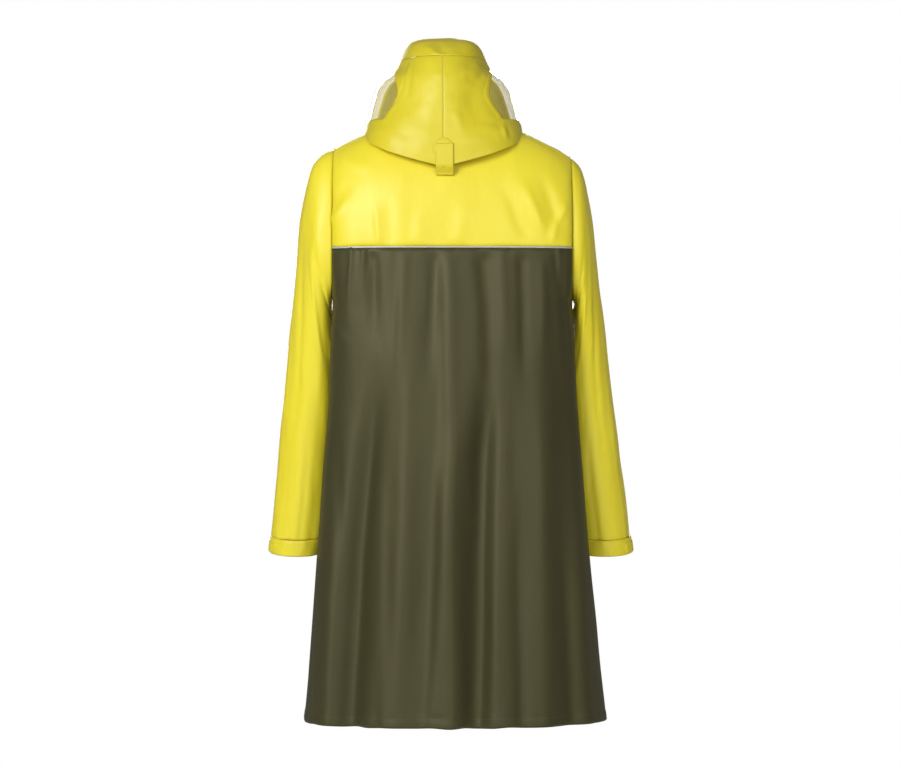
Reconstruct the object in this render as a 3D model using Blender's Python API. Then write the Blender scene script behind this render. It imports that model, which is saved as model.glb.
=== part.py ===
"""A hooded rain poncho with sleeves, as a Blender model in metres, +Z up.

The garment is filled out as if worn, with nobody in it. Its front faces -Y and the wearer's left
is +X. The origin is at the base of the neck, between the shoulders, where a wearer carries it.
Every piece of cloth is a thin wall on a surface worked out from the tables below.
"""
import math

import bmesh
import bpy
import numpy as np

MM = 0.001
CLOTH = 2.0 * MM          # wall of the coated cloth
FILM = 1.2 * MM           # wall of the clear windows
GAP = 0.3 * MM            # space between two pieces at a seam
SLANT_GAP = 0.6 * MM      # the same, measured along the section at a seam that slants
LAID_ON = 0.5 * MM        # space under a piece that lies on another

X_AXIS = (1.0, 0.0, 0.0)
Y_AXIS = (0.0, 1.0, 0.0)
Z_AXIS = (0.0, 0.0, 1.0)

# ---- body ------------------------------------------------------------------------------------
YOKE_SEAM_Z = -192 * MM   # seam between yoke and long panel
HEM_Z = -1034 * MM
ARMPIT_Z = -285 * MM
BODY_POWER = 2.35         # squareness of the horizontal sections
ARCH_POWER = 2.3          # squareness of the sections over the shoulder
NECK_BACK = 84 * MM       # neck opening, measured from the origin
NECK_FRONT = 104 * MM
NECK_SIDE = 102 * MM
SHOULDER_SEAM_Y = 30 * MM

# z of the section, its half widths left and right, its depth at the back and at the front (mm)
BODY = {
    "z":     [-192, -285, -325, -390, -490, -585, -680, -750, -845, -940, -1034],
    "left":  [202, 204, 206, 208, 212, 219, 225, 230, 238, 247, 255],
    "right": [224, 227, 230, 235, 242, 249, 256, 262, 271, 278, 287],
    "back":  [116, 124, 127, 131, 136, 141, 147, 152, 159, 167, 176],
    "front": [114, 119, 121, 124, 128, 133, 139, 144, 151, 159, 168],
    "dent":  [0, 0, 24, 51, 56, 50, 42, 36, 18, 6, 0],
}
DENT_Y = -45 * MM         # the arms press the sides in here
DENT_REACH = 58 * MM
DENT_SWELL = 0.14         # how much wider the section is beside the dent, for its depth

# half width from the middle, and height of the shoulder ridge there (mm)
RIDGE = {"x": [0, 60, 100, 150, 200, 216, 240], "z": [46, 43, 33, 12, -12, -22, -38]}

ARMHOLE_DEPTH = 70 * MM   # from the shoulder's middle line to the armhole's back or front
UNDERARM_FADE = 300 * MM  # the cloth beside the armhole falls away from it over this height
UNDERARM_BOW = 0.5        # and by this much of the section's bow

# folds of the back panel: place at the yoke and at the hem across the back (mm from the middle,
# left positive), half width and height at the hem, and the height where each one begins
BACK_FOLDS = [
    {"top": 172, "hem": 212, "half": 34, "high": 15, "from_z": -200},
    {"top": 92, "hem": 132, "half": 16, "high": 4, "from_z": -700},
    {"top": 56, "hem": 88, "half": 30, "high": 11, "from_z": -230},
    {"top": -14, "hem": -6, "half": 24, "high": 16, "from_z": -200},
    {"top": -88, "hem": -92, "half": 34, "high": 6, "from_z": -300},
    {"top": -172, "hem": -168, "half": 30, "high": 13, "from_z": -210},
    {"top": -214, "hem": -246, "half": 17, "high": 8, "from_z": -420},
]
FRONT_FOLDS = [
    {"top": 150, "hem": 190, "half": 34, "high": 13, "from_z": -220},
    {"top": 78, "hem": 112, "half": 30, "high": 9, "from_z": -300},
    {"top": 8, "hem": 24, "half": 28, "high": 14, "from_z": -220},
    {"top": -70, "hem": -78, "half": 32, "high": 10, "from_z": -260},
    {"top": -146, "hem": -172, "half": 30, "high": 13, "from_z": -220},
]

# ---- sleeves ---------------------------------------------------------------------------------
# Rings down the left arm: the outermost and innermost point of each, its middle from back to
# front and its half depth (mm). The last three columns move the right arm's points further out
# and down. The last row is the bottom of the cuff.
SLEEVE = {
    "out_x":  [221, 239, 248, 256, 263, 269, 275, 283, 289, 295, 302, 307, 313, 318, 321],
    "out_z":  [-23, -45, -68, -99, -136, -200, -262, -330, -395, -460, -525, -590, -650, -709,
               -738],
    "in_x":   [206, 208, 209, 209, 208, 205, 201, 195, 191, 192, 196, 202, 210, 219, 223],
    "in_z":   [-287, -291, -297, -305, -316, -337, -364, -401, -443, -489, -541, -598, -654, -710,
               -739],
    "mid_y":  [0, -1, -3, -6, -10, -18, -26, -35, -42, -48, -53, -57, -60, -64, -66],
    "depth":  [70, 70, 70, 69, 68, 66, 64, 62, 60, 58, 56, 54, 52, 50, 50],
    "right_out":  [9, 1, 0, 0, 0, 1, 2, 4, 5, 7, 9, 12, 15, 17, 18],
    "right_in":   [25, 25, 25, 25, 25, 25, 25, 24, 22, 20, 18, 17, 17, 18, 18],
    "right_drop": [11, 2, 0, 0, 0, 0, 0, 0, 0, 0, 0, 0, 0, 0, 0],
}
CUFF_TAB_LOW = 0.30       # where the cuff's tab starts and ends down the cuff
CUFF_TAB_HIGH = 0.95
CUFF_TAB_ANGLES = (-30, 44)   # degrees round the cuff from its outer side to the back

# ---- hood ------------------------------------------------------------------------------------
HOOD_X = 4.5 * MM         # the hood sits a little to the wearer's left of the neck
HOOD_MID_Y = -32 * MM
NECK_LEAD = math.radians(23)   # the neck's side point lies behind the hood's by this turn
NECK_OUT = 1.5 * MM       # the hood meets the yokes this far out of the neck's edge
NECK_LIFT = 1.0 * MM      # and this far above it
LIP_CLEAR = 5 * MM        # the least height of the hood's lower fold above the shoulders
# the points of the part turned under: share of the way from the neck to the fold, and a lift
UNDER_PARTS = ((0.0, 0.0), (0.6, 1 * MM))
# height, half width, the depth behind the hood's middle and before it (mm), and the squareness
# of the sections behind it (percent; 200 is an ellipse)
HOOD = {
    "z":      [-90, -10, 10, 30, 52, 74, 96, 112, 124, 132, 145, 158],
    "half":   [150, 147, 145, 139, 131, 124, 116, 106, 93, 85, 80, 74],
    "back":   [150, 150, 148, 145, 142, 139, 135, 131, 126, 122, 113, 102],
    "front":  [92, 92, 92, 94, 98, 102, 106, 108, 109, 110, 110, 110],
    "square": [310, 310, 300, 265, 230, 205, 200, 200, 200, 200, 200, 200],
}
# round the hood from the centre back (degrees): the height of its lower fold
LIP = {"angle": [0, 30, 50, 70, 90, 110, 130, 150, 180],
       "z":     [-52, -32, -17, -1, 22, 8, -26, -58, -82]}
# the face edge, the window's back edge and the window's front edge by height (degrees)
FACE_EDGE = {"z": [-90, 15, 28, 45, 75, 110, 160],
             "angle": [179.9, 179.9, 172, 158, 146, 140, 138]}
WINDOW_BACK = {"z": [30, 40, 60, 80, 110, 131, 160], "angle": [50, 50, 45, 42, 52, 74, 74]}
WINDOW_FRONT = 112
WINDOW_LOW_Z = 38 * MM
WINDOW_TOP_Z = 131 * MM
ROOF_SEAM_Z = 150 * MM    # seam between the hood's sides and its roof
ROOF_CORNER = 40          # the roof's first row takes up the seam this far each side (degrees)
# crown line of the roof from its back seam to the brim (percent of the rows, mm)
CROWN = {"t": [0, 12.5, 25, 50, 75, 100], "y": [77, 54, 27, -34, -96, -136],
         "z": [150, 168, 181, 191, 186, 172]}
# the roof's sections from side to side: place from the middle to the edge, share of the half
# width and share of the height (percent)
ROOF_ARCH = {"place": [0, 40, 65, 85, 100], "wide": [0, 45, 72, 90, 100],
             "rise": [100, 96, 82, 45, 0]}

TAB_X = 2 * MM
TAB_WIDTH = 31 * MM
TAB_TOP_Z = -9 * MM
TAB_LOW_Z = -66 * MM
TAB_CLOTH = 1.6 * MM
TAB_COLUMNS = 6
TAB_ROWS = 3
TAB_TURN = 3.5 * MM       # radius of the loop's lower end
TAB_LEAVES = 3 * MM       # the loop leaves the hood this far above its fold
TAB_BEHIND = 8 * MM       # how far its back half lies before its front half, and how far
TAB_ENDS = 7 * MM         # below the fold that half ends
PATCH_CELLS = 8
PATCH_Z = -18 * MM
PATCH_RADIUS = 18 * MM
PATCH_CLOTH = 0.8 * MM
PIPING_HALF = 1.8 * MM
PIPING_CLOTH = 1.0 * MM

YELLOW = (0.80, 0.69, 0.06, 1.0)
OLIVE = (0.085, 0.078, 0.042, 1.0)
SILVER = (0.50, 0.50, 0.42, 1.0)
CLEAR = (0.90, 0.91, 0.90, 0.35)


# ---- helpers ---------------------------------------------------------------------------------
def clear_scene():
    for thing in list(bpy.data.objects):
        bpy.data.objects.remove(thing, do_unlink=True)


def make_material(name, colour, roughness, metallic=0.0):
    material = bpy.data.materials.new(name)
    material.use_nodes = True
    shader = material.node_tree.nodes["Principled BSDF"]
    shader.inputs["Base Color"].default_value = colour
    shader.inputs["Roughness"].default_value = roughness
    shader.inputs["Metallic"].default_value = metallic
    shader.inputs["Alpha"].default_value = colour[3]
    return material


def along(xs, ys, x):
    """A smooth curve through the points (xs, ys) that never overshoots them."""
    xs = np.asarray(xs, float)
    ys = np.asarray(ys, float)
    if xs[0] > xs[-1]:
        xs = xs[::-1]
        ys = ys[::-1]
    x = min(max(x, xs[0]), xs[-1])
    step = np.diff(xs)
    slope = np.diff(ys) / step
    tangent = np.zeros(len(xs))
    tangent[0] = slope[0]
    tangent[-1] = slope[-1]
    for i in range(1, len(xs) - 1):
        if slope[i - 1] * slope[i] > 0:
            tangent[i] = 2.0 * slope[i - 1] * slope[i] / (slope[i - 1] + slope[i])
    i = min(int(np.searchsorted(xs, x, side="right")) - 1, len(step) - 1)
    t = (x - xs[i]) / step[i]
    h = step[i]
    return ((2 * t**3 - 3 * t**2 + 1) * ys[i] + (t**3 - 2 * t**2 + t) * h * tangent[i]
            + (3 * t**2 - 2 * t**3) * ys[i + 1] + (t**3 - t**2) * h * tangent[i + 1])


def table(rows, column, z):
    """The value of a table's column at height z, in metres."""
    return along(rows["z"], rows[column], z / MM) * MM


def grid_normals(grid, closed):
    """Normals of a grid of points, each the mean of the cells that meet there."""
    rows, columns = grid.shape[:2]
    total = np.zeros(grid.shape)
    for r in range(rows - 1):
        for c in range(columns if closed else columns - 1):
            d = (c + 1) % columns
            face = np.cross(grid[r, d] - grid[r + 1, c], grid[r + 1, d] - grid[r, c])
            face = face / max(np.linalg.norm(face), 1e-12)
            for i, j in ((r, c), (r, d), (r + 1, c), (r + 1, d)):
                total[i, j] += face
    return total / np.maximum(np.linalg.norm(total, axis=2, keepdims=True), 1e-12)


def mitre(grid, normal, closed):
    """How much further a point moves so that the wall keeps its thickness at a fold."""
    rows, columns = grid.shape[:2]
    scale = np.ones((rows, columns))
    for r in range(rows):
        for c in range(columns):
            low = 1.0
            for dr, dc in ((0, 0), (-1, 0), (0, -1), (-1, -1)):
                i = r + dr
                j = c + dc
                if i < 0 or i >= rows - 1 or (not closed and (j < 0 or j >= columns - 1)):
                    continue
                k = (j + 1) % columns
                face = np.cross(grid[i, k] - grid[i + 1, j % columns], grid[i + 1, k] - grid[i, j % columns])
                size = np.linalg.norm(face)
                if size > 1e-12:
                    low = min(low, abs(float(np.dot(face / size, normal[r, c]))))
            scale[r, c] = 1.0 / max(low, 0.5)
    return scale


BORDERS = {"first row": np.s_[0], "last row": np.s_[-1],
           "first column": np.s_[:, 0], "last column": np.s_[:, -1]}


def square_ends(grid, normal, ends):
    """Turn the normals of a border into the plane that the piece ends in."""
    for border, across in ends.items():
        line = normal[BORDERS[border]]
        if callable(across):
            line[:] = [across(p, n) for p, n in zip(grid[BORDERS[border]], line)]
            continue
        across = np.array(across, float)
        line -= np.outer(line @ across, across)
        line /= np.linalg.norm(line, axis=1, keepdims=True)


def wall(name, grid, thickness, material, closed=False, lift=0.0, flip=False, keep=None, ends=None):
    """A closed wall of even thickness on a grid of points, rows down and columns across.

    Its outer face lies on the grid, or is lifted off it so that its inner face is lift away.
    Where keep is given, it says which cells of the grid are cloth. Ends gives, for a border, the
    unit vector that its ending face is square to, or a function for the normals there.
    """
    grid = np.asarray(grid, float)
    normal = grid_normals(grid, closed) * (-1.0 if flip else 1.0)
    square_ends(grid, normal, ends or {})
    reach = mitre(grid, normal, closed)[:, :, None]
    outer = grid
    if lift:
        outer = grid + normal * (lift + thickness) * reach
    inner = outer - normal * thickness * reach
    rows, columns = grid.shape[:2]
    last = columns if closed else columns - 1
    mesh = bmesh.new()
    made = {}

    def corner(layer, r, c):
        key = (layer, r, c % columns)
        if key not in made:
            points = outer if layer == 0 else inner
            made[key] = mesh.verts.new(tuple(points[r, c % columns]))
        return made[key]

    edges = {}
    for r in range(rows - 1):
        for c in range(last):
            if keep is not None and not keep(r, c):
                continue
            ring = [(r, c), (r, c + 1), (r + 1, c + 1), (r + 1, c)]
            for layer in (0, 1):
                mesh.faces.new([corner(layer, *p) for p in ring])
            for a, b in zip(ring, ring[1:] + ring[:1]):
                key = tuple(sorted(((a[0], a[1] % columns), (b[0], b[1] % columns))))
                edges[key] = edges.get(key, 0) + 1
    for (a, b), count in edges.items():
        if count == 1:
            mesh.faces.new((corner(0, *a), corner(0, *b), corner(1, *b), corner(1, *a)))
    bmesh.ops.recalc_face_normals(mesh, faces=mesh.faces)
    return add_object(name, mesh, material)


def add_object(name, mesh, material):
    data = bpy.data.meshes.new(name)
    mesh.to_mesh(data)
    mesh.free()
    data.materials.append(material)
    data.shade_smooth()
    data.set_sharp_from_angle(angle=math.radians(50))
    thing = bpy.data.objects.new(name, data)
    bpy.context.scene.collection.objects.link(thing)
    return thing


# ---- body ------------------------------------------------------------------------------------
BACK_COLUMNS = 48
FRONT_COLUMNS = 36
BACK_YOKE_ROWS = 6
FRONT_YOKE_ROWS = 8
BACK_PANEL_ROWS = 8       # rows below the armpit; the rows above it are in ARMHOLE_ROWS
FRONT_PANEL_ROWS = 7
ARMHOLE_ROWS = (-220 * MM, -255 * MM, -284 * MM, -311 * MM, -347 * MM)
SIDE_FADE = 0.04          # share of the half width over which folds die out at the side seam
FOLD_TOP_HALF = 0.62      # a fold's half width at the yoke, as a share of that at the hem
FOLD_TOP_HIGH = 0.18      # its height where it starts, as a share of that at the hem
FOLD_START = 90 * MM      # how far below its start a fold has risen to that share
FOLD_HASTE = 1.15         # a fold reaches its full height a little above the hem
PRESS_FROM = 0.55         # the arms' dent starts this far out, and is full PRESS_OVER further on
PRESS_OVER = 0.4


def armhole_half_depth(z):
    """How far the armhole reaches behind or before its middle at height z; none below it."""
    if z >= YOKE_SEAM_Z:
        return ARMHOLE_DEPTH
    down = (YOKE_SEAM_Z - z) / (YOKE_SEAM_Z - ARMPIT_Z)
    if down >= 1.0:
        return 0.0
    return ARMHOLE_DEPTH * (1.0 - down ** ARCH_POWER) ** (1.0 / ARCH_POWER)


def column_places(count):
    """Places across a panel from +1 at the left edge to -1 at the right, with the neck corners."""
    places = []
    for i in range(count + 1):
        angle = math.pi * i / count
        c = math.cos(angle)
        places.append(math.copysign(abs(c) ** (2.0 / BODY_POWER), c))
    for side, sign in (("left", 1.0), ("right", -1.0)):
        corner = (HOOD_X + sign * NECK_SIDE) / table(BODY, side, YOKE_SEAM_Z)
        nearest = min(range(len(places)), key=lambda i: abs(places[i] - corner))
        places[nearest] = corner
    return places


def section_depth(u, z, back):
    """Depth of the body's section at height z and place u across it."""
    deep = table(BODY, "back" if back else "front", z)
    bow = max(0.0, 1.0 - min(abs(u), 1.0) ** BODY_POWER) ** (1.0 / BODY_POWER)
    slack = ARMHOLE_DEPTH * (1.0 - smooth_step((YOKE_SEAM_Z - z) / UNDERARM_FADE))
    edge = armhole_half_depth(z)
    edge += (slack - edge) * smooth_step(bow / UNDERARM_BOW)
    return edge + (deep - edge) * bow


def body_point(u, z, back):
    """A point of the body's outer surface below the yoke seam, without its folds."""
    dent = table(BODY, "dent", z)
    half = table(BODY, "left" if u > 0 else "right", z) + DENT_SWELL * dent
    depth = section_depth(u, z, back)
    y = depth if back else -depth
    press = dent * math.exp(-((y - DENT_Y) / DENT_REACH) ** 2)
    x = u * half - math.copysign(press, u) * smooth_step((abs(u) - PRESS_FROM) / PRESS_OVER)
    return [x, y, z]


def smooth_step(t):
    t = min(max(t, 0.0), 1.0)
    return t * t * (3.0 - 2.0 * t)


def fold_height(folds, x, z):
    """How far the folds push the panel out at this place."""
    down = (YOKE_SEAM_Z - z) / (YOKE_SEAM_Z - HEM_Z)
    total = 0.0
    for fold in folds:
        middle = (fold["top"] + (fold["hem"] - fold["top"]) * down) * MM
        half = fold["half"] * MM * (FOLD_TOP_HALF + (1.0 - FOLD_TOP_HALF) * down)
        start = fold["from_z"] * MM
        grown = smooth_step((start - z) / (start - HEM_Z) * FOLD_HASTE)
        high = fold["high"] * MM * (FOLD_TOP_HIGH + (1.0 - FOLD_TOP_HIGH) * grown)
        begun = smooth_step((start - z) / FOLD_START)
        reach = (x - middle) / half
        total += high * begun * math.exp(-reach * reach)
    return total


def panel_grid(back, rows):
    """The long panel's outer points: rows down from the yoke seam, columns from left to right."""
    inset = 0.5 * GAP if back else -0.5 * GAP
    places = column_places(BACK_COLUMNS if back else FRONT_COLUMNS)
    folds = BACK_FOLDS if back else FRONT_FOLDS
    first = ARMHOLE_ROWS[-1]
    heights = [YOKE_SEAM_Z - 0.5 * GAP, *ARMHOLE_ROWS]
    heights += [first + (HEM_Z - first) * (i + 1) / rows for i in range(rows)]
    grid = []
    for z in heights:
        row = [body_point(u, z, back) for u in places]
        for i in (0, len(row) - 1):
            row[i][1] += inset
        grid.append(row)
    grid = np.array(grid)
    flat = grid_normals(grid, False) * (-1.0 if back else 1.0)
    flat[:, :, 2] = 0.0
    flat /= np.maximum(np.linalg.norm(flat, axis=2, keepdims=True), 1e-9)
    for r in range(grid.shape[0]):
        for c in range(grid.shape[1]):
            edge = smooth_step((1.0 - abs(places[c])) / SIDE_FADE)
            grid[r, c] += flat[r, c] * fold_height(folds, grid[r, c, 0], grid[r, c, 2]) * edge
    return grid


def ridge_z(x):
    return along(RIDGE["x"], RIDGE["z"], abs(x) / MM) * MM


def yoke_point(x, y, z_seam):
    """A point of the surface over the shoulders, above the yoke seam."""
    half = table(BODY, "left" if x > 0 else "right", YOKE_SEAM_Z)
    u = min(abs(x) / half, 1.0)
    deep = section_depth(u, YOKE_SEAM_Z, y > 0)
    part = min(abs(y) / deep, 1.0)
    rise = (1.0 - part ** ARCH_POWER) ** (1.0 / ARCH_POWER)
    return [x, y, z_seam + (ridge_z(x) - z_seam) * rise]


def neck_edge(sign, angle, out=0.0):
    """A point of the neck opening: angle 0 at the centre back, 90 at the shoulder seam."""
    deep = NECK_BACK - SHOULDER_SEAM_Y if angle < math.pi / 2 else NECK_FRONT + SHOULDER_SEAM_Y
    x = HOOD_X + sign * (NECK_SIDE + out) * math.sin(angle)
    return x, SHOULDER_SEAM_Y + (deep + out) * math.cos(angle)


def yoke_column(u, back, z_seam, rows):
    """One column of the yoke, from its seam up to the shoulder seam or the neck."""
    half = table(BODY, "left" if u > 0 else "right", YOKE_SEAM_Z)
    x_low = u * half
    side_y = SHOULDER_SEAM_Y + (0.5 * GAP if back else -0.5 * GAP)
    x_high = x_low
    y_high = side_y
    aside = x_low - HOOD_X
    if abs(aside) < NECK_SIDE - 1e-6:
        angle = math.pi / 2 * abs(aside) / NECK_SIDE
        sign = math.copysign(1.0, aside)
        x_high, y_high = neck_edge(sign, angle if back else math.pi - angle)
    toward = 1.0 if back else -1.0
    deep_high = section_depth(x_high / half, YOKE_SEAM_Z, y_high > 0)
    cosine = toward * y_high / deep_high
    end = math.acos(math.copysign(min(abs(cosine), 1.0) ** (ARCH_POWER / 2), cosine))
    points = []
    for i in range(rows + 1):
        t = i / rows
        angle = end * t
        x = x_low + (x_high - x_low) * t
        c = math.cos(angle)
        c = math.copysign(abs(c) ** (2.0 / ARCH_POWER), c)
        deep = section_depth(x / half, YOKE_SEAM_Z, toward * c > 0)
        rise = abs(math.sin(angle)) ** (2.0 / ARCH_POWER)
        z = z_seam + (ridge_z(x) - z_seam) * rise
        points.append([x, toward * c * deep, z])
    return points


def yoke_grid(back, rows):
    places = column_places(BACK_COLUMNS if back else FRONT_COLUMNS)
    z_seam = YOKE_SEAM_Z + 0.5 * GAP
    columns = [yoke_column(u, back, z_seam, rows) for u in places]
    return np.array(columns).transpose(1, 0, 2)


def armhole_point(side, angle):
    """The armhole's loop: angle 0 at the shoulder, 90 at the back, 180 under the arm."""
    sign = 1.0 if side == "left" else -1.0
    c = math.cos(angle)
    s = math.sin(angle)
    y = math.copysign(abs(s) ** (2.0 / ARCH_POWER), s) * ARMHOLE_DEPTH
    up = abs(c) ** (2.0 / ARCH_POWER)
    half = table(BODY, side, YOKE_SEAM_Z)
    if c >= 0:
        return [sign * half, y, YOKE_SEAM_Z + (ridge_z(half) - YOKE_SEAM_Z) * up]
    z = YOKE_SEAM_Z - (YOKE_SEAM_Z - ARMPIT_Z) * up
    point = body_point(sign, z, s >= 0)
    return [point[0], y, z]


# ---- sleeves ---------------------------------------------------------------------------------
SLEEVE_COLUMNS = 20
SLEEVE_TILT = 0.15        # slope of the cuff's edge from front down to back
ARMHOLE_SHARE = (0.75, 0.5, 0.25)   # how much the first rings keep of the armhole's shape
CUFF_ROWS = 3
CUFF_TAB_COLUMNS = 8


def full_turn():
    return [2 * math.pi * i / SLEEVE_COLUMNS for i in range(SLEEVE_COLUMNS)]


def sleeve_ring(side, row, angles):
    """One ring of the sleeve from its table row: angle 0 is its outer side, 90 its back."""
    sign = 1.0 if side == "left" else -1.0
    extra = (0.0, 0.0, 0.0)
    if side == "right":
        extra = (SLEEVE["right_out"][row], SLEEVE["right_in"][row], SLEEVE["right_drop"][row])
    outer = np.array([SLEEVE["out_x"][row] + extra[0], 0.0, SLEEVE["out_z"][row] - extra[2]]) * MM
    inner = np.array([SLEEVE["in_x"][row] + extra[1], 0.0, SLEEVE["in_z"][row]]) * MM
    middle = (outer + inner) / 2
    middle[1] = SLEEVE["mid_y"][row] * MM
    reach = (outer - inner) / 2
    deep = SLEEVE["depth"][row] * MM
    tilt = SLEEVE_TILT * row / (len(SLEEVE["out_x"]) - 1)
    points = []
    for angle in angles:
        p = middle + reach * math.cos(angle)
        p[1] += deep * math.sin(angle)
        p[2] -= tilt * deep * math.sin(angle)
        points.append([sign * p[0], p[1], p[2]])
    return points


def sleeve_grid(side):
    sign = 1.0 if side == "left" else -1.0
    first = [armhole_point(side, angle) for angle in full_turn()]
    for p in first:
        p[0] += sign * GAP
    rings = [first]
    for row in range(len(SLEEVE["out_x"]) - 1):
        ring = np.array(sleeve_ring(side, row, full_turn()))
        like_armhole = ARMHOLE_SHARE[row] if row < len(ARMHOLE_SHARE) else 0.0
        shape = np.array(first)
        middle = (shape.max(axis=0) + shape.min(axis=0)) / 2
        target = ring.mean(axis=0)
        moved = shape - middle
        moved[:, 0] = ring[:, 0] - target[0]
        moved = moved + target
        ring = ring * (1.0 - like_armhole) + moved * like_armhole
        rings.append(ring.tolist())
    return np.array(rings)


def cuff_ring(side, down, angles):
    """A ring of the cuff: down is 0 at its seam and 1 at its edge."""
    count = len(SLEEVE["out_x"])
    top = np.array(sleeve_ring(side, count - 2, angles))
    low = np.array(sleeve_ring(side, count - 1, angles))
    return top + (low - top) * down


def cuff_grid(side):
    height = (SLEEVE["out_z"][-2] - SLEEVE["out_z"][-1]) * MM
    first = GAP / height
    downs = [first + (1.0 - first) * i / CUFF_ROWS for i in range(CUFF_ROWS + 1)]
    return np.array([cuff_ring(side, down, full_turn()) for down in downs])


def cuff_tab_grid(side):
    first, last = CUFF_TAB_ANGLES
    step = (last - first) / CUFF_TAB_COLUMNS
    angles = [math.radians(first + step * i) for i in range(CUFF_TAB_COLUMNS + 1)]
    downs = (CUFF_TAB_LOW, 0.5 * (CUFF_TAB_LOW + CUFF_TAB_HIGH), CUFF_TAB_HIGH)
    return np.array([cuff_ring(side, down, angles) for down in downs])


# ---- hood ------------------------------------------------------------------------------------
THROAT_REACH = 1 * MM     # points this near the middle belong to the seam at the throat
HOOD_LOW_ROWS = 3
HOOD_HIGH_ROWS = 6
UNDER_ROWS = len(UNDER_PARTS)
BACK_PANEL_COLUMNS = 9
SIDE_COLUMNS = 6
BAND_COLUMNS = 5
ROOF_COLUMNS = 20
ROOF_ROWS = 8


def hood_square(z):
    """The squareness of the hood's back at a height."""
    return along(HOOD["z"], HOOD["square"], z / MM) / 100


def hood_point(sign, angle, z):
    """A point of the hood's sides at an angle from its centre back (degrees)."""
    turn = math.radians(angle)
    half = table(HOOD, "half", z)
    if angle < 90:
        square = hood_square(z)
        share = (1.0 - math.sin(turn) ** square) ** (1.0 / square)
        y = HOOD_MID_Y + table(HOOD, "back", z) * share
    else:
        y = HOOD_MID_Y + table(HOOD, "front", z) * math.cos(turn)
    return [HOOD_X + sign * half * math.sin(turn), y, z]


def hood_outward(point, normal):
    """The level direction out of the hood at a point of its sides."""
    behind = point[1] > HOOD_MID_Y
    half = table(HOOD, "half", point[2])
    deep = table(HOOD, "back" if behind else "front", point[2])
    steep = hood_square(point[2]) - 1.0 if behind else 1.0
    aside = (point[0] - HOOD_X) / half
    across = math.copysign(abs(aside) ** steep, aside) / half
    along_y = math.copysign(abs((point[1] - HOOD_MID_Y) / deep) ** steep, point[1] - HOOD_MID_Y)
    out = np.array([across, along_y / deep, 0.0])
    return out / np.linalg.norm(out)


def throat_outward(point, normal):
    """The band's own normal, square to the seam where its two sides meet at the throat."""
    if abs(point[0] - HOOD_X) > THROAT_REACH:
        return normal
    out = normal * np.array([0.0, 1.0, 1.0])
    return out / np.linalg.norm(out)


def by_height(rows, z):
    return along(rows["z"], rows["angle"], z / MM)


def lip_z(sign, angle):
    """Height of the fold where the hood turns under, kept clear of the shoulders."""
    z = along(LIP["angle"], LIP["z"], angle) * MM
    point = hood_point(sign, angle, z)
    return max(z, yoke_point(point[0], point[1], YOKE_SEAM_Z)[2] + LIP_CLEAR)


def along_band(sign):
    """The direction round the hood at the seam of the face band."""
    turn = math.radians(WINDOW_FRONT)
    half = table(HOOD, "half", WINDOW_LOW_Z)
    deep = table(HOOD, "front", WINDOW_LOW_Z)
    step = np.array([sign * half * math.cos(turn), -deep * math.sin(turn), 0.0])
    return tuple(step / np.linalg.norm(step))


def neck_point(sign, angle):
    """Where the hood meets the yokes, over the edge of the neck opening."""
    turn = math.radians(angle)
    turn += NECK_LEAD * math.sin(turn)
    edge_x, edge_y = neck_edge(sign, turn)
    x, y = neck_edge(sign, turn, NECK_OUT)
    return [x, y, yoke_point(edge_x, edge_y, YOKE_SEAM_Z)[2] + NECK_LIFT]


def under_rows(sign, angle, lip):
    """The rows of the part that is turned under, from the neck to just before the fold."""
    neck = np.array(neck_point(sign, angle))
    edge = np.array(lip)
    rows = []
    for part, lift in UNDER_PARTS:
        p = neck + (edge - neck) * part
        p[2] += lift
        rows.append(p.tolist())
    return rows


def heights_up():
    """The heights of a column's points from the window's lower edge to its upper one."""
    step = (WINDOW_TOP_Z - WINDOW_LOW_Z) / HOOD_HIGH_ROWS
    return [WINDOW_LOW_Z + step * i for i in range(HOOD_HIGH_ROWS + 1)]


def hood_column(sign, angle_at):
    """One column of the hood from the neck under the fold and up to the roof's seam."""
    angle = angle_at(lip_z(sign, angle_at(0.0)))
    lip = lip_z(sign, angle)
    points = under_rows(sign, angle, hood_point(sign, angle, lip))
    for i in range(HOOD_LOW_ROWS):
        z = lip + (WINDOW_LOW_Z - lip) * i / HOOD_LOW_ROWS
        points.append(hood_point(sign, angle_at(z), z))
    above = (0.5 * (WINDOW_TOP_Z + ROOF_SEAM_Z), ROOF_SEAM_Z - 0.5 * GAP)
    for z in heights_up() + list(above):
        points.append(hood_point(sign, angle_at(z), z))
    return points


def seam_angle(distance, z):
    """The angle that a distance takes up on the hood."""
    return math.degrees(distance / table(HOOD, "half", z))


def hood_back_grid(sign):
    """The back panel, which runs on forward below the window."""
    columns = []
    for c in range(BACK_PANEL_COLUMNS + SIDE_COLUMNS + 1):
        def angle_at(z, c=c):
            back = by_height(WINDOW_BACK, z)
            first = seam_angle(0.5 * GAP, z)
            if c <= BACK_PANEL_COLUMNS:
                return first + (back - first) * c / BACK_PANEL_COLUMNS
            far = WINDOW_FRONT - first
            return back + (far - back) * (c - BACK_PANEL_COLUMNS) / SIDE_COLUMNS
        columns.append(hood_column(sign, angle_at))
    return np.array(columns).transpose(1, 0, 2)


def is_back_panel(row, column):
    """Whether this cell of the back panel's grid is cloth: all but the window's place."""
    first = UNDER_ROWS + HOOD_LOW_ROWS
    beside = column < BACK_PANEL_COLUMNS
    return beside or row < first or row >= first + HOOD_HIGH_ROWS


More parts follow.
